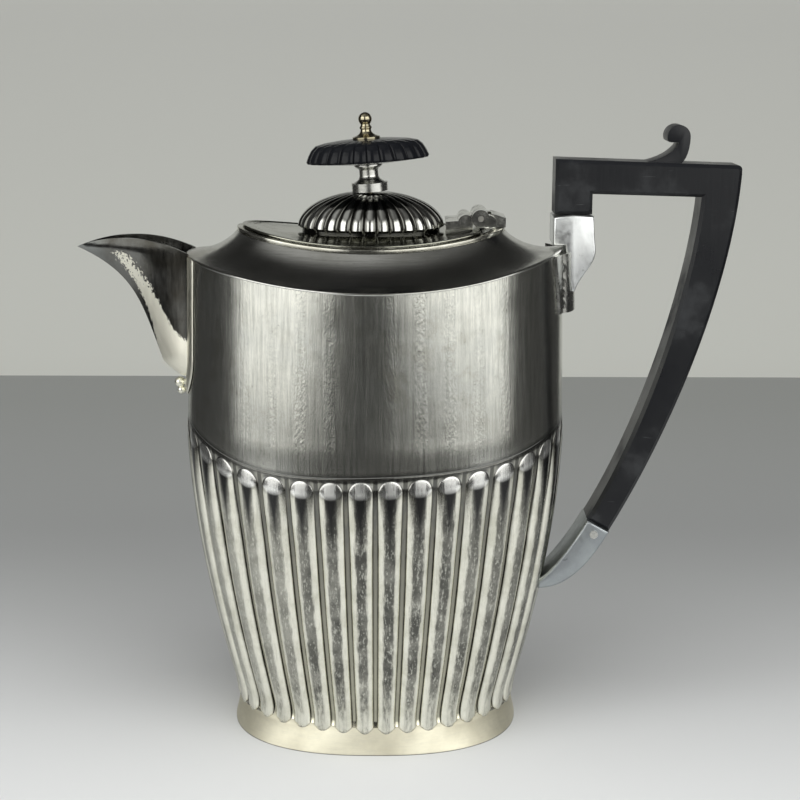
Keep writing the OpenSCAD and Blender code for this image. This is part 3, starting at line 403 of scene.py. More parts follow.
def foot_metal():
    """Matt cream plate of the foot, a little stained, with a painted contact shadow: a dark line
    along its lowest edge.
    """
    g = Graph("silver_foot")
    clouds = g.noise(45, detail=5, rough=0.6)
    brush = g.noise(1.0, (160, 160, 900), detail=3, rough=0.7)
    colour = g.tones(clouds, 0.35, 0.7, (0.72, 0.69, 0.56), (0.58, 0.55, 0.44))
    colour = g.mix(g.spread(brush, 0.45, 0.75, 0, 0.35), colour, rgb(0.52, 0.5, 0.42))
    # Painted contact shadow along the foot's lowest edge
    colour = g.mix(g.spread(g.axis("Z"), 0.0001, 0.0004, 1, 0), colour, rgb(0.08, 0.08, 0.075))
    g.bump(brush, 0.08)
    return g.finish(colour, g.spread(clouds, 0.3, 0.7, 0.5, 0.6), 1.0)


def spout_metal():
    """Tarnished spout with a pitted cream patch worn along its keel."""
    g = Graph("silver_spout")
    clouds = g.noise(60, detail=6, rough=0.65)
    pits = g.noise(1.0, (1300, 1300, 800), detail=3, rough=0.6)
    brush = g.noise(1.0, (700, 700, 90), detail=3, rough=0.7)
    patch = g.attribute("patch")
    high = g.spread(g.axis("Z"), 0.15, 0.168, 0.9, 3.0)
    worn = g.math("ADD", patch, g.scaled(pits, 0.5, high))
    worn = g.math("MULTIPLY", g.spread(worn, 0.42, 0.6), g.spread(patch, 0.02, 0.3))
    dark = g.tones(clouds, 0.4, 0.7, (0.2, 0.2, 0.19), (0.1, 0.095, 0.08))
    dark = g.mix(g.attribute("tip"), dark, rgb(0.26, 0.27, 0.26))
    colour = g.mix(worn, dark, rgb(1.0, 0.98, 0.86))
    g.bump(g.math("ADD", brush, g.math("MULTIPLY", pits, worn)), 0.15)
    roughness = g.math("ADD", g.spread(brush, 0.3, 0.7, 0.14, 0.24), g.math("MULTIPLY", worn, 0.3))
    return g.finish(colour, roughness, 1.0)


def shoulder_metal():
    """Dark polished shoulder with fine brush lines that run round the oval."""
    g = Graph("silver_shoulder")
    clouds = g.noise(40, detail=5, rough=0.6)
    lines = g.noise(1.0, (70, 70, 1500), detail=4, rough=0.7)
    specks = g.noise(900, detail=2, rough=0.5)
    colour = g.tones(clouds, 0.35, 0.7, (0.72, 0.72, 0.69), (0.56, 0.56, 0.52))
    colour = g.mix(g.spread(lines, 0.45, 0.75, 0, 0.5), colour, rgb(0.4, 0.4, 0.37))
    colour = g.mix(g.spread(specks, 0.7, 0.76, 0, 0.5), colour, rgb(0.2, 0.19, 0.16))
    stain = g.spread(g.axis("X"), -0.064, -0.05, 0.6, 0, True)
    stain = g.math("MULTIPLY", stain, g.spread(clouds, 0.4, 0.6))
    colour = g.mix(stain, colour, rgb(0.16, 0.13, 0.08))
    g.bump(lines, 0.12)
    return g.finish(colour, g.spread(lines, 0.3, 0.7, 0.14, 0.24), 1.0)


def dome_metal():
    """Dark polished dome: pale along each lobe's crest and dark between the lobes, partly tarnish
    in the grooves and partly painted shade that keeps each crest's highlight narrow; the undercut
    below is painted shade.
    """
    g = Graph("silver_dome")
    cells = g.noise(220, detail=4, rough=0.6)
    # Darker away from each lobe's crest: tarnish in the grooves together with painted shade that
    # narrows the highlights
    edge = g.math("ADD", g.attribute("across"), g.scaled(cells, 0.5, 0.5))
    colour = g.tones(edge, 0.22, 0.62, (0.62, 0.62, 0.59), (0.11, 0.11, 0.1))
    # Painted shade in the undercut below the dome's lobes
    colour = g.mix(g.attribute("under"), colour, rgb(0.06, 0.06, 0.055))
    g.bump(cells, 0.06)
    return g.finish(colour, g.spread(cells, 0.3, 0.7, 0.1, 0.2), 1.0)


silver_body = body_metal()
silver_foot = foot_metal()
silver_spout = spout_metal()
silver_shoulder = shoulder_metal()
silver_dull = plate("silver_dull", (0.6, 0.6, 0.57), (0.42, 0.42, 0.39), 0.22, (300, 300, 300))
silver_lid = plate("silver_lid", (0.42, 0.42, 0.36), (0.28, 0.28, 0.24), 0.1, (200, 200, 200), 0.3)
silver_hinge = plate(
    "silver_hinge", (0.85, 0.85, 0.8), (0.2, 0.2, 0.18), 0.14, (300, 300, 300), 0.5, 260
)
silver_bright = plate("silver_bright", (0.84, 0.84, 0.8), (0.66, 0.66, 0.62), 0.14, (300, 300, 300))
silver_dome = dome_metal()
silver_rim = plate("silver_rim", (0.7, 0.69, 0.62), (0.45, 0.44, 0.38), 0.16, (200, 200, 900))
silver_wire = plate("silver_wire", (0.92, 0.91, 0.8), (0.74, 0.73, 0.62), 0.34, (300, 300, 300))
# Lit and shaded copies of one silver: the upper socket is painted light, the lower one, under the
# belly, painted shade
socket_upper_lit = plate("socket_upper_lit", (0.86, 0.88, 0.88), (0.72, 0.74, 0.75), 0.34, (500, 500, 500))
socket_lower_shaded = plate("socket_lower_shaded", (0.4, 0.43, 0.44), (0.3, 0.32, 0.34), 0.34, (500, 500, 500))
brass = plate("brass_nut", (0.42, 0.38, 0.27), (0.22, 0.195, 0.13), 0.16, (300, 300, 300))
pin_metal = plate("pin_metal", (0.55, 0.54, 0.5), (0.35, 0.34, 0.31), 0.35, (300, 300, 300))


def ebonised(name, haze, rough, grain, shine):
    """Black stained wood under worn polish: grain, haze and fine scuffs."""
    g = Graph(name)
    clouds = g.noise(38, detail=6, rough=0.62)
    fibres = g.noise(1.0, grain, detail=4, rough=0.6)
    scuffs = g.noise(1.0, (90, 300, 1400), detail=2, rough=0.6, distort=0.6)
    hazy = g.math("MULTIPLY", g.spread(clouds, 0.5, 0.74, smooth=True), haze)
    colour = g.mix(hazy, rgb(0.006, 0.0065, 0.008), rgb(0.075, 0.08, 0.085))
    mark = g.math("MULTIPLY", g.spread(scuffs, 0.7, 0.76), g.spread(clouds, 0.4, 0.6))
    colour = g.mix(g.math("MULTIPLY", mark, 0.5), colour, rgb(0.16, 0.165, 0.17))
    roughness = g.math("ADD", g.spread(clouds, 0.3, 0.7, rough, rough + 0.22), hazy)
    g.bump(fibres, 0.18)
    g.shader.inputs["Specular IOR Level"].default_value = shine
    return g.finish(colour, roughness, 0.0)


wood = ebonised("ebonised_wood", 0.36, 0.24, (700, 700, 45), 0.38)
wood_disc = ebonised("ebonised_disc", 0.02, 0.05, (300, 300, 300), 0.14)


# ---- Body ----

LOBE = 0.84
TIP_H = 2.8
LINE_UP = 1.2


def ease(value, span):
    """0 below 0 and 1 above the span, with a smooth way between."""
    t = np.clip(value / span, 0, 1)
    return t * t * (3 - 2 * t)


def flute_columns():
    """Places across one flute, from -1 in a fillet to 1 in the next, and their columns' angles."""
    lobe = LOBE * np.sin(np.radians(np.linspace(-90, 90, 21)))
    s = np.concatenate([[-1, -0.92, -LOBE - 0.025], lobe, [LOBE + 0.025, 0.92]])
    turns = (np.arange(FLUTES)[:, None] + (s[None, :] + 1) / 2) * 2 * math.pi / FLUTES
    return np.tile(s, FLUTES), oval_angle(turns.ravel() + rad(FLUTE_TURN))


def head_line(p):
    return HEAD_Z + HEAD_RISE * np.cos(p) ** 4 + HEAD_LEAN * np.cos(p) * np.sin(p) ** 2


def skirt(z):
    """Change of the foot's half length and half depth at the height z."""
    return -FOOT_SLOPE * z


def foot_power(z):
    """Exponent of the foot's plan: squarer at the table, an ellipse from 8 mm up."""
    return 2 + (FOOT_POWER - 2) * np.clip(1 - z / 8, 0, 1) ** 0.8


def over_foot(x, y, z):
    """How far a point of the body stands out from the foot's outer face."""
    n = foot_power(z)
    a, b = FOOT_A + skirt(z), FOOT_B + skirt(z)
    return (((np.abs(x) / a) ** n + (np.abs(y) / b) ** n) ** (1 / n) - 1) * (a + b) / 2


def relief(u, below, up):
    """Offset of the fluted surface from the plain body, and the distance to a lobe's edge in radii.

    u is 0 on a lobe's crest and 1 at its edge, below the depth under the head's top, up the
    height over the foot. Near the foot the whole surface spreads out to meet the skirt.
    """
    base = -0.3 * ease(below, 3) - (FLUTE_DEPTH - 0.5) * ease(below - 1, 30)
    base = base * ease(up, 6)
    spread = FLUTE_SPREAD * (1 - ease(up, SPREAD_H))
    width = np.clip(up / TIP_H, 0.02, 1)
    rho = np.sqrt((u / width) ** 2 + np.maximum(0, 1 - below / HEAD_R) ** 2)
    height = (FLUTE_PROUD - base) * np.sqrt(np.maximum(0, 1 - rho**2)) * np.sqrt(width)
    line = 0.05 * np.clip(1 - np.abs(below + LINE_UP) / 0.2, 0, 1)
    return np.where(below < 0, -line, base + height) + spread, rho


def body_points():
    s, p = flute_columns()
    u = np.abs(s) / LOBE
    inside = np.minimum(1, u)
    head = head_line(p)
    top = head - HEAD_R * (1 - np.sqrt(1 - inside**2))
    tip = FOOT_H + TIP_H * inside
    edge = edge_z(p) - SEAT_H
    from_tip = np.array([0.06, 0.15, 0.3, 0.5, 0.8, 1.2, 1.8, 2.6, 3.6, 5.0])
    from_top = np.array([9.0, 7.0, 5.6, 4.6, 3.8, 3.0, 2.3, 1.7, 1.2, 0.8, 0.5, 0.28, 0.13, 0.04])
    line = head + LINE_UP
    rows = [FOOT_H + (tip - FOOT_H) * k for k in (0, 0.5, 0.9)] + [tip]
    rows += [tip + d for d in from_tip]
    low, high = tip + from_tip[-1], top - from_top[0]
    rows += [low + (high - low) * k for k in np.linspace(0, 1, 26)[1:-1]]
    rows += [top - d for d in from_top] + [top]
    rows += [top + (line - 0.25 - top) * k for k in (0.06, 0.16, 0.32, 0.6)]
    rows += [line + d for d in (-0.25, -0.1, 0, 0.1, 0.25)]
    rows += [line + 0.5 + (edge - line - 0.5) * k for k in np.linspace(0, 1, 27)]
    n = len(rows)
    pts = np.zeros((len(p), 2 * n, 3))
    marks = np.zeros((4, len(p), 2 * n))
    wobble = 0.10 * np.sin(3 * p + 0.6) + 0.08 * np.sin(5 * p + 2.0) + 0.05 * np.sin(9 * p + 4.0)
    for k, z in enumerate(rows):
        off, rho = relief(u, head - z, z - FOOT_H)
        calm = np.clip((edge - z) / 12, 0, 1) * np.clip((z - line) / 12, 0, 1)
        off = off + wobble * calm * np.sin(z / 17 + 2 * p) - 0.1 * calm
        # The seam mark follows each head's outline, the chased line and the body's joint with the
        # foot, where the body's material paints dark shade lines
        seam = np.clip(1 - np.abs(rho - 1) * HEAD_R / 0.36, 0, 1) * (z < head + 0.6)
        seam = np.maximum(seam, np.clip(1 - np.abs(z - line) / 0.2, 0, 1))
        x, y = (half_w(z) + off) * np.cos(p), (half_d(z) + off) * np.sin(p)
        rim = np.clip(1 - np.abs(over_foot(x, y, z) - 0.05) / 0.22, 0, 1) * (z < FOOT_TOP)
        mark = (np.abs(s), head - z, np.maximum(seam, rim), z - FOOT_H)
        for side, inset in ((0, 0), (1, WALL)):
            j = k if side == 0 else 2 * n - 1 - k
            a, b = half_w(z) + off - inset, half_d(z) + off - inset
            pts[:, j] = np.stack([a * np.cos(p), b * np.sin(p), z], -1)
            marks[:, :, j] = mark
    return pts, marks


points, marks = body_points()
mesh = grid_mesh("body_skin", points, True, True)
for name, values in zip(("across", "below", "seam", "up"), marks):
    set_attribute(mesh, name, values)
add_object("body_skin", mesh, "pot", ["body_shell"], silver_body, 60)


def oval_ring(section, n):
    """Ring with the section rows [half length, half depth, shift, height, climb]."""
    p = turn(n)
    s = np.asarray(section, float)
    c, q = np.cos(p)[:, None], np.sin(p)[:, None]
    return np.stack(
        [s[:, 0] * c - s[:, 2], s[:, 1] * q, s[:, 3] + s[:, 4] * c**2 + 0 * q], -1
    )


def foot_points(n=360):
    """Foot: a skirt that flares out to the table, its top edge inside the body's spread base."""
    rows = [(-WALL - 2.6, FOOT_H), (-WALL - 2.6, FOOT_H - WALL - 0.6), (-FOOT_EDGE - 1, 1.2)]
    rows += [(-FOOT_EDGE, 0.0), (-0.1, 0.0), (0, 0.1), (0, 0.5)]
    rows += [(skirt(z), z) for z in np.linspace(1.2, FOOT_TOP, 15)] + [(-3.8, FOOT_TOP)]
    p = turn(n)
    c, q = np.cos(p), np.sin(p)
    cols = []
    for out, z in rows:
        power = 2 / foot_power(z)
        cols.append(np.stack(
            [
                (FOOT_A + out) * np.sign(c) * np.abs(c) ** power,
                (FOOT_B + out) * np.sign(q) * np.abs(q) ** power, z + 0 * c,
            ], -1,
        ))
    return np.stack(cols, 1)


add_object(
    "foot_ring", grid_mesh("foot_ring", foot_points(), True, True), "pot", ["foot_rim"],
    silver_foot,
)


def shoulder_points(n=432, steps=26):
    p = turn(n)
    z0 = edge_z(p)
    rows = []
    for t in np.linspace(0, 1, steps + 1):
        u = 1 - t
        share = 3 * u * u * t * 0.42 + 3 * u * t * t * 0.8 + t**3
        z = (
            u**3 * z0 + 3 * u * u * t * (rim_z(p) - HOLLOW_DROP)
            + 3 * u * t * t * (rim_z(p) - FLANK_DROP) + t**3 * (rim_z(p) - RIM_H)
        )
        rows.append((share, z))
    a0, b0 = half_w(z0), half_d(z0)

    def at(share, z, inner):
        a = a0 + (NECK_A - a0) * share - inner * share
        b = b0 + (NECK_B - b0) * share - inner * share
        return np.stack([a * np.cos(p) - NECK_SHIFT * share, b * np.sin(p), z], -1)

    def lip(off, z):
        return np.stack([(a0 + off) * np.cos(p), (b0 + off) * np.sin(p), z], -1)

    cols = [lip(-WALL, z0 - SEAT_H), lip(0, z0 - SEAT_H)]
    for angle in np.linspace(-60, 60, 7):
        cols.append(lip(0.45 * math.cos(rad(angle)), z0 - SEAT_H / 2 + 0.4 * math.sin(rad(angle))))
    cols += [at(*row, 0) for row in rows]
    cols += [
        at(share, z - 0.6 * WALL * (1 + (1 - share) ** 2), WALL) for share, z in rows[:0:-1]
    ]
    return np.stack(cols, 1)


add_object(
    "shoulder_skin", grid_mesh("shoulder_skin", shoulder_points(), True, True), "pot",
    ["shoulder"], silver_shoulder,
)


def neck_row(inset, up):
    return (NECK_A - inset, NECK_B - inset, NECK_SHIFT, NECK_Z + up, NECK_RISE)


def rounded(section, r, steps=3):
    """The closed section with each corner cut by a small arc of about radius r."""
    pts = np.asarray(section, float)
    out = []
    for i, here in enumerate(pts):
        before, after = pts[i - 1], pts[(i + 1) % len(pts)]
        a = before - here
        b = after - here
        la = np.linalg.norm(a[[0, 3]])
        lb = np.linalg.norm(b[[0, 3]])
        p0 = here + a * min(0.45, r / max(la, 1e-6))
        p1 = here + b * min(0.45, r / max(lb, 1e-6))
        for t in np.linspace(0, 1, steps + 1):
            out.append((1 - t) ** 2 * p0 + 2 * t * (1 - t) * here + t * t * p1)
    return out


neck_section = rounded(
    [
        neck_row(0, -RIM_H), neck_row(0, 0), neck_row(RIM_W, 0), neck_row(RIM_W, -WALL),
        neck_row(WALL, -WALL), neck_row(WALL, -RIM_H),
    ], 0.3,
)
add_object(
    "neck_band", grid_mesh("neck_band", oval_ring(neck_section, 360), True, True), "pot",
    ["neck_rim"], silver_rim,
)

# ---- Spout ----

SPOUT_END_Z = float(edge_z(math.pi))
TIP_Z = SPOUT_END_Z + TIP_UP
SPOUT_LOW = TIP_Z - SPOUT_H


def keel(z):
    q = np.clip((z - SPOUT_LOW - 4) / (SPOUT_H - 4), 0, 1)
    start = half_w(SPOUT_LOW) + LOWER_BULGE
    return start + (SPOUT_REACH - start) * (0.47 * q + 0.53 * q**5)


def spout_side(u, v, inner):
    w = SPOUT_W / 2 - (SPOUT_T if inner else 0)
    y = w * u
    low = SPOUT_LOW + (1.5 * SPOUT_T if inner else 0) + SPOUT_ROUND * (1 - np.sqrt(1 - u * u))
    along = (1 - np.abs(u)) ** (1 / PLAN_POWER)
    high = SPOUT_END_Z + TIP_UP * along + LIP_ARCH * 4 * along * (1 - along)
    z = low + (high - low) * v
    grow = np.sqrt(np.minimum(1, (z - low) / 5))
    reach = keel(np.minimum(z, TIP_Z)) - (2.4 * SPOUT_T if inner else 0)
    base = body_x(y, z) + TOUCH
    return np.stack([-base - np.maximum(0, reach - base) * along * grow, y + 0 * z, z], -1)


SPOUT_SIDES = np.sin(np.radians(np.linspace(-90, 90, 61)))[:, None]


def spout_points():
    u = SPOUT_SIDES
    v = np.concatenate([[0, 0.004, 0.012, 0.028, 0.05, 0.08], np.linspace(0.12, 1, 34)])[None, :]
    return np.concatenate([spout_side(u, v, False), spout_side(u, v[:, ::-1], True)], 1)


def spout_marks(points):
    """The worn patch along the keel and the paler tip, for each point of the spout."""
    z, side = points[:, :, 2], np.abs(SPOUT_SIDES)
    heights = [127, 140, 147, 157, 167, 172, 175]
    near = np.interp(z, heights, [-0.1, 0.0, 0.12, 0.18, 0.28, 0.4, 0.6])
    far = np.interp(z, heights, [1.2, 1.1, 0.8, 0.6, 0.54, 0.58, 0.3])
    patch = np.clip(np.minimum(side - near, far - side) / 0.2 + 0.35, 0, 1)
    patch[:, patch.shape[1] // 2:] = 0
    return patch, np.clip((-93 - points[:, :, 0]) / 6, 0, 1)


points = spout_points()
mesh = grid_mesh("spout_skin", points, False, True, True)
for name, values in zip(("patch", "tip"), spout_marks(points)):
    set_attribute(mesh, name, values)
add_object("spout_skin", mesh, "pot", ["spout"], silver_spout, 40)


def seam_points(steps=64):
    seam_low = SPOUT_LOW + SPOUT_ROUND
    seam_top = SPOUT_END_Z - SEAT_H - 0.2
    cols = []
    for i in range(steps + 9):
        loop = []
        for angle in np.linspace(0, 360, 17)[:-1]:
            across = 0.1 + SEAM_W / 2 - SEAM_W / 2 * math.cos(rad(angle))
            off = SEAM_GAP + (SEAM_T - SEAM_GAP) * max(0.0, math.sin(rad(angle))) ** 0.7
            r = SPOUT_W / 2 + across
            if i < 4:
                y, z = -r, seam_top + (seam_low - seam_top) * i / 4
            elif i > steps + 4:
                y, z = r, seam_low + (seam_top - seam_low) * (i - steps - 4) / 4
            else:
                a = math.pi + math.pi * (i - 4) / steps
                y, z = r * math.cos(a), seam_low + (SPOUT_ROUND + across) * math.sin(a)
            loop.append((-float(body_x(y, z)) - off, y, z))
        cols.append(loop)
    return np.array(cols)


add_object(
    "seam_wire", grid_mesh("seam_wire", seam_points(), False, True, True), "pot",
    ["spout_seam_wire"], silver_wire,
)

# ---- Handle and sockets ----

WALL_X = float(half_w(HANDLE_END_Z))
SOCKET_X0 = WALL_X - 3.8
POST_X0 = SOCKET_X0 + 0.4
POST_X1 = POST_X0 + 13.0
SOCKET_X1 = POST_X1 + 0.4
SOCKET_TOP = HANDLE_END_Z + 10.4
SOCKET_LOW = HANDLE_END_Z - 15.8
SOCKET_W = HANDLE_T + 2.1
POINT_X = WALL_X + 3
outer = curve(
    (POINT_X + 1, SOCKET_LOW), (POINT_X + 3.4, SOCKET_LOW + 7),
    (SOCKET_X1 + 2.0, HANDLE_END_Z - 6), (SOCKET_X1 + 0.9, HANDLE_END_Z), 14,
)
socket_outline = (
    [(POINT_X, SOCKET_LOW)] + [tuple(x) for x in outer]
    + [
        (SOCKET_X1 + 0.4, HANDLE_END_Z + 4.2), (SOCKET_X1, SOCKET_TOP),
        ((SOCKET_X0 + SOCKET_X1) / 2, SOCKET_TOP + 0.5), (SOCKET_X0, SOCKET_TOP - 0.3),
        (SOCKET_X0, HANDLE_END_Z + 0.35), (WALL_X + 0.35, HANDLE_END_Z + 0.35),
    ]
)
add_object(
    "socket_sleeve", slab_mesh("socket_sleeve", socket_outline, SOCKET_W, 0.9), "pot",
    ["upper_handle_socket"], socket_upper_lit, 40,
)


def tail_points(across=72, up=16):
    tail_r, tail_t, tail_edge, flange = 11.0, 4.4, 1.0, 3.4
    low, top = SOCKET_LOW - 7, HANDLE_END_Z - SEAT_H - 1.4
    cols = []
    for i in range(across + 1):
        sine = math.sin(rad(-90 + 180 * i / across))
        z = np.linspace(low, top, up + 1)
        y = (tail_r + flange * (1 + (z - low) / (top - low))) * sine
        round_ = np.sqrt(np.clip(1 - (y / tail_r) ** 2, 0, 1))
        off = tail_edge + (tail_t - tail_edge) * round_
        base = body_x(y, z)
        inner = np.stack([base + TOUCH, y, z], -1)
        skin = np.stack([base + off, y, z], -1)
        cols.append(np.concatenate([inner, skin[::-1]]))
    return np.array(cols)


add_object(
    "socket_tail", grid_mesh("socket_tail", tail_points(), False, True, True), "pot",
    ["upper_socket_tail"], silver_dull, 30,
)

GRIP_DIR = np.array([math.cos(rad(60.3)), math.sin(rad(60.3))])
MOUTH_DIR = np.array([GRIP_DIR[1], -GRIP_DIR[0]])
LOWER_Z, GRIP_END_Z, GRIP_END_W = 50.0, 73.7, 9.2
LOWER_X = float(half_w(LOWER_Z))
MOUTH = np.array([LOWER_X + 20.6, GRIP_END_Z])
mouth_out, mouth_in = MOUTH + MOUTH_DIR * GRIP_END_W / 2, MOUTH - MOUTH_DIR * GRIP_END_W / 2
lower = path(
    mouth_out, mouth_out - GRIP_DIR * 9, (LOWER_X + 12, LOWER_Z - 0.4), (LOWER_X - 1, LOWER_Z), 26
) + path(
    (LOWER_X - 1, LOWER_Z + 2.8), (LOWER_X + 3, LOWER_Z + 5.2),
    mouth_in - GRIP_DIR * 14, mouth_in, 26,
)
add_object(
    "socket_horn", slab_mesh("socket_horn", lower, SOCKET_W, 0.9), "pot",
    ["lower_handle_socket"], socket_lower_shaded, 40,
)

BAR_TOP = HANDLE_END_Z + HANDLE_RISE
BAR_LOW = BAR_TOP - 12
corner = np.array([HANDLE_REACH, BAR_TOP - 2])
grip_in = np.array([HANDLE_REACH - 13.6, BAR_LOW - 1])
fall = corner[1] - GRIP_END_Z
grip_outline = (
    [(POST_X0, SOCKET_TOP + 0.6), (POST_X1, SOCKET_TOP + 0.6), (POST_X1, BAR_LOW)]
    + path(
        grip_in, grip_in - np.array([2.2, fall / 4]), mouth_in + GRIP_DIR * fall * 0.3, mouth_in, 40
    )
    + path(
        mouth_out, mouth_out + GRIP_DIR * fall / 3, corner - np.array([2, fall / 3]),
        corner - np.array([0, 3.2]), 40,
    )
    + [tuple(x) for x in arc(corner - 1.6, 1.6, 0, 90, 6)]
    + [(POST_X0, BAR_TOP)]
)
grip = slab_mesh("grip_slab", grip_outline, HANDLE_T, BEVEL, 1)

scroll_x = HANDLE_REACH - 22.1


def bar_top_at(x):
    return BAR_TOP - 2 * (x - POST_X0) / (HANDLE_REACH - POST_X0)


scroll_base = bar_top_at(scroll_x)
mid = np.array([scroll_x, scroll_base + 12.9 - 4])
scroll_outline = (
    [(scroll_x + 1.2, scroll_base - 0.5)]
    + path(
        (scroll_x + 1.4, scroll_base), (scroll_x + 3.4, scroll_base + 2),
        mid + [4, -3], mid + [4, 0], 8,
    )
    + [tuple(x) for x in arc(mid, 4, 8, 200, 24)]
    + path(mid + [-3.2, -1.8], mid + [-1.6, -2.2], mid + [0.1, -1.4], mid + [0, -2.3], 8)
    + path(
        mid + [-0.4, -3.2], mid + [-3, -6.2], (scroll_x - 7, scroll_base + 0.5),
        (scroll_x - 15, scroll_base - 0.5), 16,
    )
)
add_object("handle_grip", grip, "pot", ["handle"], wood, 30)
add_object(
    "handle_scroll", slab_mesh("handle_scroll", scroll_outline, 10.0, 0.7), "pot", [], wood,
    30,
)

# ---- Lid ----


def cut_box(obj, low, high, solver="EXACT"):
    """Cuts the box between two corners, in mm, out of a piece."""
    bm = bmesh.new()
    bmesh.ops.create_cube(bm, size=1)
    size = (Vector(high) - Vector(low)) * MM
    centre = (Vector(high) + Vector(low)) * MM / 2
    place = Matrix.Translation(centre) @ Matrix.Diagonal((*size, 1))
    bmesh.ops.transform(bm, matrix=place, verts=bm.verts)
    cut_with(obj, bm, solver)


def cut_with(obj, bm, solver):
    tool_mesh = bpy.data.meshes.new("cutter")
    bm.to_mesh(tool_mesh)
    bm.free()
    tool = bpy.data.objects.new("cutter", tool_mesh)
    scene.collection.objects.link(tool)
    change = obj.modifiers.new("cut", "BOOLEAN")
    change.operation, change.solver, change.object = "DIFFERENCE", solver, tool
    bpy.context.view_layer.update()
    made = bpy.data.meshes.new_from_object(obj.evaluated_get(bpy.context.evaluated_depsgraph_get()))
    obj.modifiers.clear()
    old, obj.data = obj.data, made
    made.name = obj.name
    bpy.data.meshes.remove(old)
    bpy.data.objects.remove(tool)
    bpy.data.meshes.remove(tool_mesh)


def cut_round(obj, r, width, solver="EXACT"):
    """Cuts the sweep of the hinge's knuckles out of a piece."""
    bm = bmesh.new()
    bmesh.ops.create_cone(
        bm, cap_ends=True, segments=64, radius1=r * MM, radius2=r * MM, depth=width * MM
    )
    axis = Matrix.Translation(Vector((HINGE_X, 0, HINGE_Z)) * MM)
    place = axis @ Matrix.Rotation(math.pi / 2, 4, "X")
    bmesh.ops.transform(bm, matrix=place, verts=bm.verts)
    cut_with(obj, bm, solver)


def lid_section(gap):
    step = LID_INSET + BEAD_W + 0.4
    mid_a, mid_b = (NECK_A - step + DOME_A) / 2, (NECK_B - step + DOME_B) / 2
    mid_z = (NECK_Z + LID_GAP + BEAD_H - 0.45 + LID_GROUND) / 2 - 0.3
    inner = 3.4
    return [
        neck_row(LID_INSET, gap), neck_row(LID_INSET, LID_GAP + BEAD_H),
        neck_row(LID_INSET + BEAD_W, LID_GAP + BEAD_H), neck_row(step, LID_GAP + BEAD_H - 0.45),
        (mid_a, mid_b, NECK_SHIFT, mid_z, NECK_RISE / 2),
        (DOME_A - 0.6, DOME_B - 0.6, NECK_SHIFT, LID_GROUND, 0),
        (DOME_A - inner, DOME_B - inner, NECK_SHIFT, LID_GROUND, 0),
        (DOME_A - inner, DOME_B - inner, NECK_SHIFT, LID_GROUND - LID_T, 0),
        (DOME_A - 0.6, DOME_B - 0.6, NECK_SHIFT, LID_GROUND - LID_T, 0),
        (mid_a, mid_b, NECK_SHIFT, mid_z - LID_T, NECK_RISE / 2),
        neck_row(BEZEL_IN + WALL, LID_GAP - 0.65), neck_row(BEZEL_IN + WALL, gap),
    ]


FAR = 200


def lid_mesh(name, gap):
    """The lid's whole plate, with its underside the gap over the rim."""
    section = rounded(lid_section(gap), LID_ROUND)
    return grid_mesh(name, oval_ring(section, LID_COLUMNS), True, True)


# The exact solver leaves nothing of the lid's plate, so the fast one cuts it
lid_field = add_object(
    "lid_field", lid_mesh("lid_field", LID_GAP), "lid", ["lid_plate"], silver_lid
)
cut_box(lid_field, (HINGE_X - 0.3, -FAR, 0), (HINGE_X + FAR, FAR, 2 * FAR), "FAST")
cut_round(lid_field, SWEEP_R, SWEEP_W, "FAST")
hinge_plate = add_object(
    "hinge_plate", lid_mesh("hinge_plate", TOUCH), "pot", ["hinge_seat"], silver_dull
)
cut_box(hinge_plate, (HINGE_X + 0.3 - FAR, -FAR, 0), (HINGE_X + 0.3, FAR, 2 * FAR))
cut_round(hinge_plate, SWEEP_R, SWEEP_W)
leaf_seat, leaf_half = NECK_Z + NECK_RISE + TOUCH, HINGE_W / 2 + 0.04
cut_box(hinge_plate, (0, -leaf_half, leaf_seat - TOUCH), (FAR, leaf_half, leaf_seat + 20))


def lobe_place(n, steps):
    """Places of n columns across their lobes, from -1 to 1."""
    return (np.arange(n) % steps) / steps * 2 - 1


def lobe_drop(n, steps):
    """Share of a lobe's depth by which each column lies under the crest."""
    return 1 - np.sqrt(1 - np.abs(lobe_place(n, steps)) ** 2)


def dome_points():
    n = DOME_FLUTES * DOME_STEPS
    p = turn(n)
    drop = lobe_drop(n, DOME_STEPS)
    edge = LID_GROUND + DOME_FOOT

    def skin(r, depth):
        k = math.sqrt(1 - r * r) / math.sqrt(1 - DOME_FLAT * DOME_FLAT)
        off = -(DOME_FLUTE_DEPTH + 0.3) * (0.3 + 0.7 * r) * drop
        return np.stack(
            [
                (DOME_A * r + off - depth * r) * np.cos(p) - NECK_SHIFT,
                (DOME_B * r + off - depth * r) * np.sin(p),
                np.full_like(p, edge + DOME_H * k - depth * k),
            ], -1,
        )

    def foot(inner, z):
        a, b = DOME_A - inner, DOME_B - inner
        return np.stack([a * np.cos(p) - NECK_SHIFT, b * np.sin(p), np.full_like(p, z)], -1)

    levels = np.sin(np.radians(np.linspace(88, 16.26, 22)))
    cols = [foot(1.6, LID_GROUND + TOUCH), foot(1.6, LID_GROUND + DOME_FOOT * 0.6)]
    cols += [skin(r, 0) for r in levels]
    for z in (0, LID_T):
        ring = np.stack(
            [2 * np.cos(p) - NECK_SHIFT, 2 * np.sin(p), np.full_like(p, edge + DOME_H - z)], -1
        )
        cols.append(ring)
    cols += [skin(r, LID_T) for r in levels[::-1]]
    cols += [foot(2.5, LID_GROUND + DOME_FOOT * 0.6), foot(2.5, LID_GROUND + TOUCH)]
    return np.stack(cols, 1)


points = dome_points()
mesh = grid_mesh("dome_skin", points, True, True)
places = np.abs(lobe_place(len(points), DOME_STEPS))
set_attribute(mesh, "across", np.repeat(places[:, None], points.shape[1], 1))
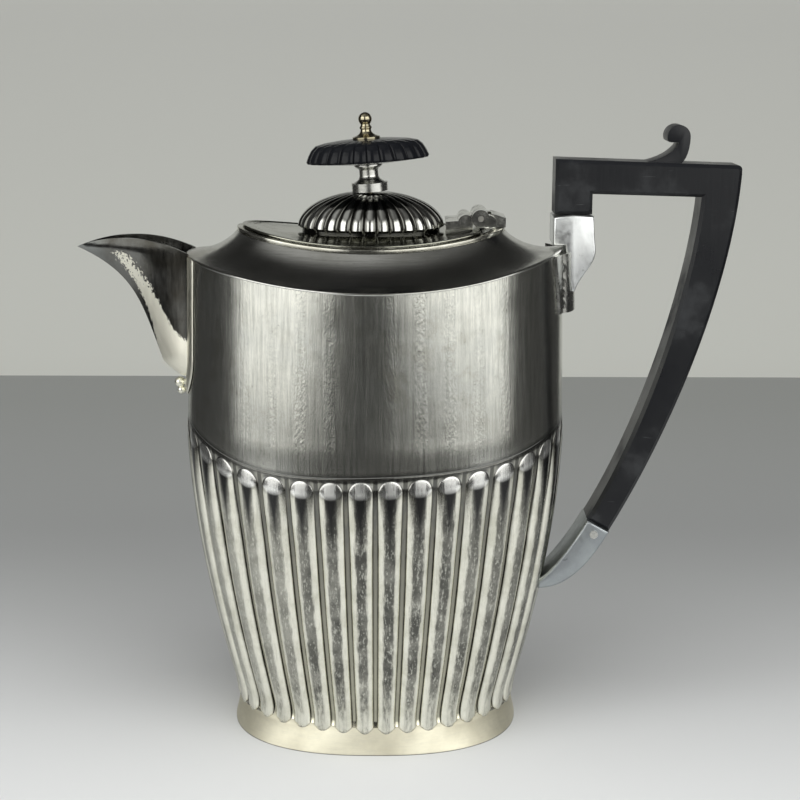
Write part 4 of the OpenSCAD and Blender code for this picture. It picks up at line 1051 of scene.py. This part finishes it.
# The under mark is where the dome's material paints shade in its undercut
set_attribute(mesh, "under", points[:, :, 2] < LID_GROUND + DOME_FOOT + 0.1)
add_object("dome_skin", mesh, "lid", ["lid_dome"], silver_dome, 50)

# ---- Finial ----

DOME_TOP = LID_GROUND + DOME_FOOT + DOME_H
on_dome = (
    Matrix.Translation(Vector((-NECK_SHIFT - FINIAL_IN, 0, DOME_TOP)) * MM)
    @ Matrix.Rotation(-rad(FINIAL_LEAN), 4, "Y")
)
SPOOL_LIFT = SPOOL_BASE_R * math.sin(rad(FINIAL_LEAN)) + TOUCH
DISC_Z = SPOOL_LIFT + SPOOL_H + TOUCH
DISC_A, DISC_B, DISC_H, DISC_BELLY = 21.5, 16.2, 8.9, 1.6
DISC_FLUTE_DEPTH = 0.9


def disc_points(per=20, flutes=24):
    n = flutes * per
    p = turn(n)
    drop = lobe_drop(n, per)
    side = DISC_H - DISC_BELLY
    key = np.array([
        (0.25, 0, 0), (0.62, DISC_BELLY * 0.45, 0), (0.985, DISC_BELLY - 0.1, 0.8),
        (1, DISC_BELLY + 0.5, 1), (0.96, DISC_BELLY + side * 0.35, 1),
        (0.91, DISC_BELLY + side * 0.6, 1), (0.84, DISC_BELLY + side * 0.78, 0.9),
        (0.7, DISC_BELLY + side * 0.88, 0.6), (0.46, DISC_BELLY + side * 0.96, 0.2),
        (0.25, DISC_H, 0),
    ])
    cols = []
    for i in range(len(key) - 1):
        for t in (0, 0.33, 0.67):
            r, z, k = key[i] * (1 - t) + key[i + 1] * t
            cols.append((r, z, k))
    cols.append(tuple(key[-1]))
    rings = [(0.06, 0, 0)] + cols + [(0.06, DISC_H, 0)]
    return np.stack(
        [
            np.stack(
                [
                    (DISC_A * r - DISC_FLUTE_DEPTH * k * drop) * np.cos(p),
                    (DISC_B * r - DISC_FLUTE_DEPTH * k * drop) * np.sin(p),
                    np.full_like(p, z + DISC_Z),
                ], -1,
            )
            for r, z, k in rings
        ], 1,
    )


disc_mesh = grid_mesh("disc_skin", disc_points(), True, True)
disc_mesh.transform(on_dome)
add_object("disc_skin", disc_mesh, "lid", ["knob_disc"], wood_disc, 40)

# ---- CAD nodes that keep their shape ----

for node, material in {
    "base_plate": silver_dull, "spout_drop": silver_wire, "upper_handle_pin": pin_metal,
    "lower_handle_pin": silver_bright, "body_hinge_leaf": silver_hinge, "hinge_pin": pin_metal,
    "lid_bezel": silver_dull, "lid_hinge_leaf": silver_hinge, "finial_spool": silver_dull,
    "finial_nut": brass, "finial_stud": brass, "finial_lock_nut": brass,
}.items():
    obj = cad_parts[node]
    obj.data.materials.clear()
    obj.data.materials.append(material)

# ---- Stage, light and camera ----

FLOOR_Z, FLOOR_HALF, TABLE_BACK = 0.0, 2, 0.585
WALL_Y, WALL_HALF, WALL_LOW, WALL_TOP = 1.4, 0.95, -1.5, 0.75
TABLE_EDGE, TABLE_SIDE = -0.24, 0.33


def stage_plane(name, corners, material):
    mesh = bpy.data.meshes.new(name)
    mesh.from_pydata(corners, [], [(0, 1, 2, 3)])
    mesh.materials.append(material)
    obj = bpy.data.objects.new(name, mesh)
    scene.collection.objects.link(obj)
    return obj


def table_material():
    """Pale table with painted light falloff: bright near the pot and darker towards the wall.

    In reflections it ends just in front of the pot, as a table's edge does.
    """
    g = Graph("table_top")
    y = g.axis("Y")
    table_painted_falloff = g.tones(y, -0.14, 0.24, (0.7, 0.71, 0.712), (0.262, 0.268, 0.266))
    table_painted_falloff = g.mix(g.spread(y, 0.2, 0.5), table_painted_falloff, rgb(0.235, 0.242, 0.233))
    past = g.math(
        "MAXIMUM", g.spread(y, TABLE_EDGE - 0.012, TABLE_EDGE + 0.012, 1, 0),
        g.spread(g.math("ABSOLUTE", g.axis("X")), TABLE_SIDE - 0.03, TABLE_SIDE + 0.03),
    )
    hidden = g.math("MULTIPLY", past, g.node("ShaderNodeLightPath").outputs["Is Glossy Ray"])
    g.plug(g.math("SUBTRACT", 1.0, hidden), g.shader.inputs["Alpha"])
    return g.finish(table_painted_falloff, 0.6, 0.0)


def wall_material():
    g = Graph("wall")
    # Painted light falloff: the wall darker towards its top
    up = g.spread(g.axis("Z"), -0.15, 0.25)
    return g.finish(g.mix(up, rgb(0.63, 0.64, 0.6), rgb(0.49, 0.495, 0.47)), 0.8, 0.0)


stage_plane(
    "floor", [
        (-FLOOR_HALF, -FLOOR_HALF, FLOOR_Z), (FLOOR_HALF, -FLOOR_HALF, FLOOR_Z),
        (FLOOR_HALF, TABLE_BACK, FLOOR_Z), (-FLOOR_HALF, TABLE_BACK, FLOOR_Z),
    ], table_material(),
)
stage_plane(
    "backdrop", [
        (-WALL_HALF, WALL_Y, WALL_LOW), (WALL_HALF, WALL_Y, WALL_LOW),
        (WALL_HALF, WALL_Y, WALL_TOP), (-WALL_HALF, WALL_Y, WALL_TOP),
    ], wall_material(),
)
LAMP_AIM, LAMP_AWAY = (0, 0, 0.12), 1.6


def softbox(name, azimuth, elevation, width, height, power):
    """Lamp that lights the pot but shows in no reflection, since the room gives those."""
    light = bpy.data.lights.new(name, "AREA")
    light.shape, light.size, light.size_y, light.energy = "RECTANGLE", width, height, power
    obj = bpy.data.objects.new(name, light)
    scene.collection.objects.link(obj)
    a, e = rad(azimuth), rad(elevation)
    way = Vector((math.sin(a) * math.cos(e), -math.cos(a) * math.cos(e), math.sin(e)))
    obj.location = Vector(LAMP_AIM) + way * LAMP_AWAY
    obj.rotation_mode = "QUATERNION"
    obj.rotation_quaternion = way.to_track_quat("Z", "Y")
    obj.visible_camera = False
    obj.visible_glossy = False


softbox("top_softbox", 20, 62, 2.2, 1.6, 27)
softbox("left_softbox", -75, 40, 1.2, 1.2, 7.5)

world = bpy.data.worlds.new("room")
scene.world = world
world.use_nodes = True
tree = world.node_tree
CUT_FROM = -6.5
WINDOW_LOW, WINDOW_HIGH, WINDOW_SOFT = -11.5, 34, 4
ROOM_LEVEL, ROOM_DROP, ABOVE_LEVEL = 0.045, 0.022, 0.26
DIFFUSE_LEVEL, CAMERA_LEVEL = 0.1, 0.47


def room_math(kind, a, b=None):
    made = tree.nodes.new("ShaderNodeMath")
    made.operation = kind
    for k, value in enumerate((a, b)):
        if isinstance(value, bpy.types.NodeSocket):
            tree.links.new(value, made.inputs[k])
        elif value is not None:
            made.inputs[k].default_value = value
    return made.outputs[0]


def room_step(value, low, high):
    """0 at low and 1 at high, in degrees, with a smooth way between."""
    made = tree.nodes.new("ShaderNodeMapRange")
    made.interpolation_type = "SMOOTHSTEP"
    tree.links.new(value, made.inputs["Value"])
    made.inputs["From Min"].default_value = low
    made.inputs["From Max"].default_value = high
    return made.outputs["Result"]


way = tree.nodes.new("ShaderNodeSeparateXYZ")
tree.links.new(tree.nodes.new("ShaderNodeTexCoord").outputs["Generated"], way.inputs[0])
azimuth = room_math(
    "DEGREES", room_math("ARCTAN2", way.outputs[0], room_math("MULTIPLY", way.outputs[1], -1.0))
)
elevation = room_math("DEGREES", room_math("ARCSINE", way.outputs[2]))


def window(left, right, cut_left, cut_right):
    """A softly edged bright field between two azimuths, in degrees.

    Below the elevation CUT_FROM each side moves in by its cut for every degree.
    """
    fall = room_math("MAXIMUM", room_math("SUBTRACT", CUT_FROM, elevation), 0.0)
    from_left = room_math("SUBTRACT", azimuth, room_math("MULTIPLY", fall, cut_left))
    from_right = room_math("ADD", azimuth, room_math("MULTIPLY", fall, cut_right))
    sides = room_math(
        "MULTIPLY", room_step(from_left, left - WINDOW_SOFT, left + WINDOW_SOFT),
        room_step(from_right, right + WINDOW_SOFT, right - WINDOW_SOFT),
    )
    levels = room_math(
        "MULTIPLY",
        room_step(elevation, WINDOW_LOW - WINDOW_SOFT / 2, WINDOW_LOW + WINDOW_SOFT / 2),
        room_step(elevation, WINDOW_HIGH + 4 * WINDOW_SOFT, WINDOW_HIGH - WINDOW_SOFT),
    )
    return room_math("MULTIPLY", sides, levels)


glow = room_math("ADD", window(-76, -18, 0.0, 4.5), window(9, 75, 7.0, 1.0))
brighter = room_math("MULTIPLY", room_step(elevation, -4, 10), 1.6)
glow = room_math("MULTIPLY", glow, room_math("ADD", 1.15, brighter))
above = room_math(
    "MULTIPLY", room_step(way.outputs[1], 0.42, -0.08), room_step(elevation, 40, 56)
)
above = room_math("MULTIPLY", above, room_math("ADD", 0.4, room_step(way.outputs[0], 0.4, -0.2)))
glow = room_math("ADD", glow, room_math("MULTIPLY", above, ABOVE_LEVEL))
dimmer = room_math("MULTIPLY", room_step(elevation, 25, 45), ROOM_DROP)
glow = room_math("ADD", glow, room_math("SUBTRACT", ROOM_LEVEL, dimmer))
ray = tree.nodes.new("ShaderNodeLightPath")
for kind, level in (("Is Diffuse Ray", DIFFUSE_LEVEL), ("Is Camera Ray", CAMERA_LEVEL)):
    chosen = ray.outputs[kind]
    glow = room_math(
        "ADD", room_math("MULTIPLY", glow, room_math("SUBTRACT", 1.0, chosen)),
        room_math("MULTIPLY", chosen, level),
    )
ground = tree.nodes["Background"]
ground.inputs["Color"].default_value = (1.0, 1.0, 0.97, 1)
tree.links.new(glow, ground.inputs["Strength"])

camera = bpy.data.cameras.new("camera")
camera.lens, camera.sensor_width = 72.54, 36.0
camera_obj = bpy.data.objects.new("camera", camera)
scene.collection.objects.link(camera_obj)
camera_obj.matrix_world = (
    Matrix.Translation((0.0089, -0.565, 0.250))
    @ Matrix.Rotation(rad(76.90), 4, "X")
    @ Matrix.Rotation(rad(0.15), 4, "Z")
)
scene.camera = camera_obj
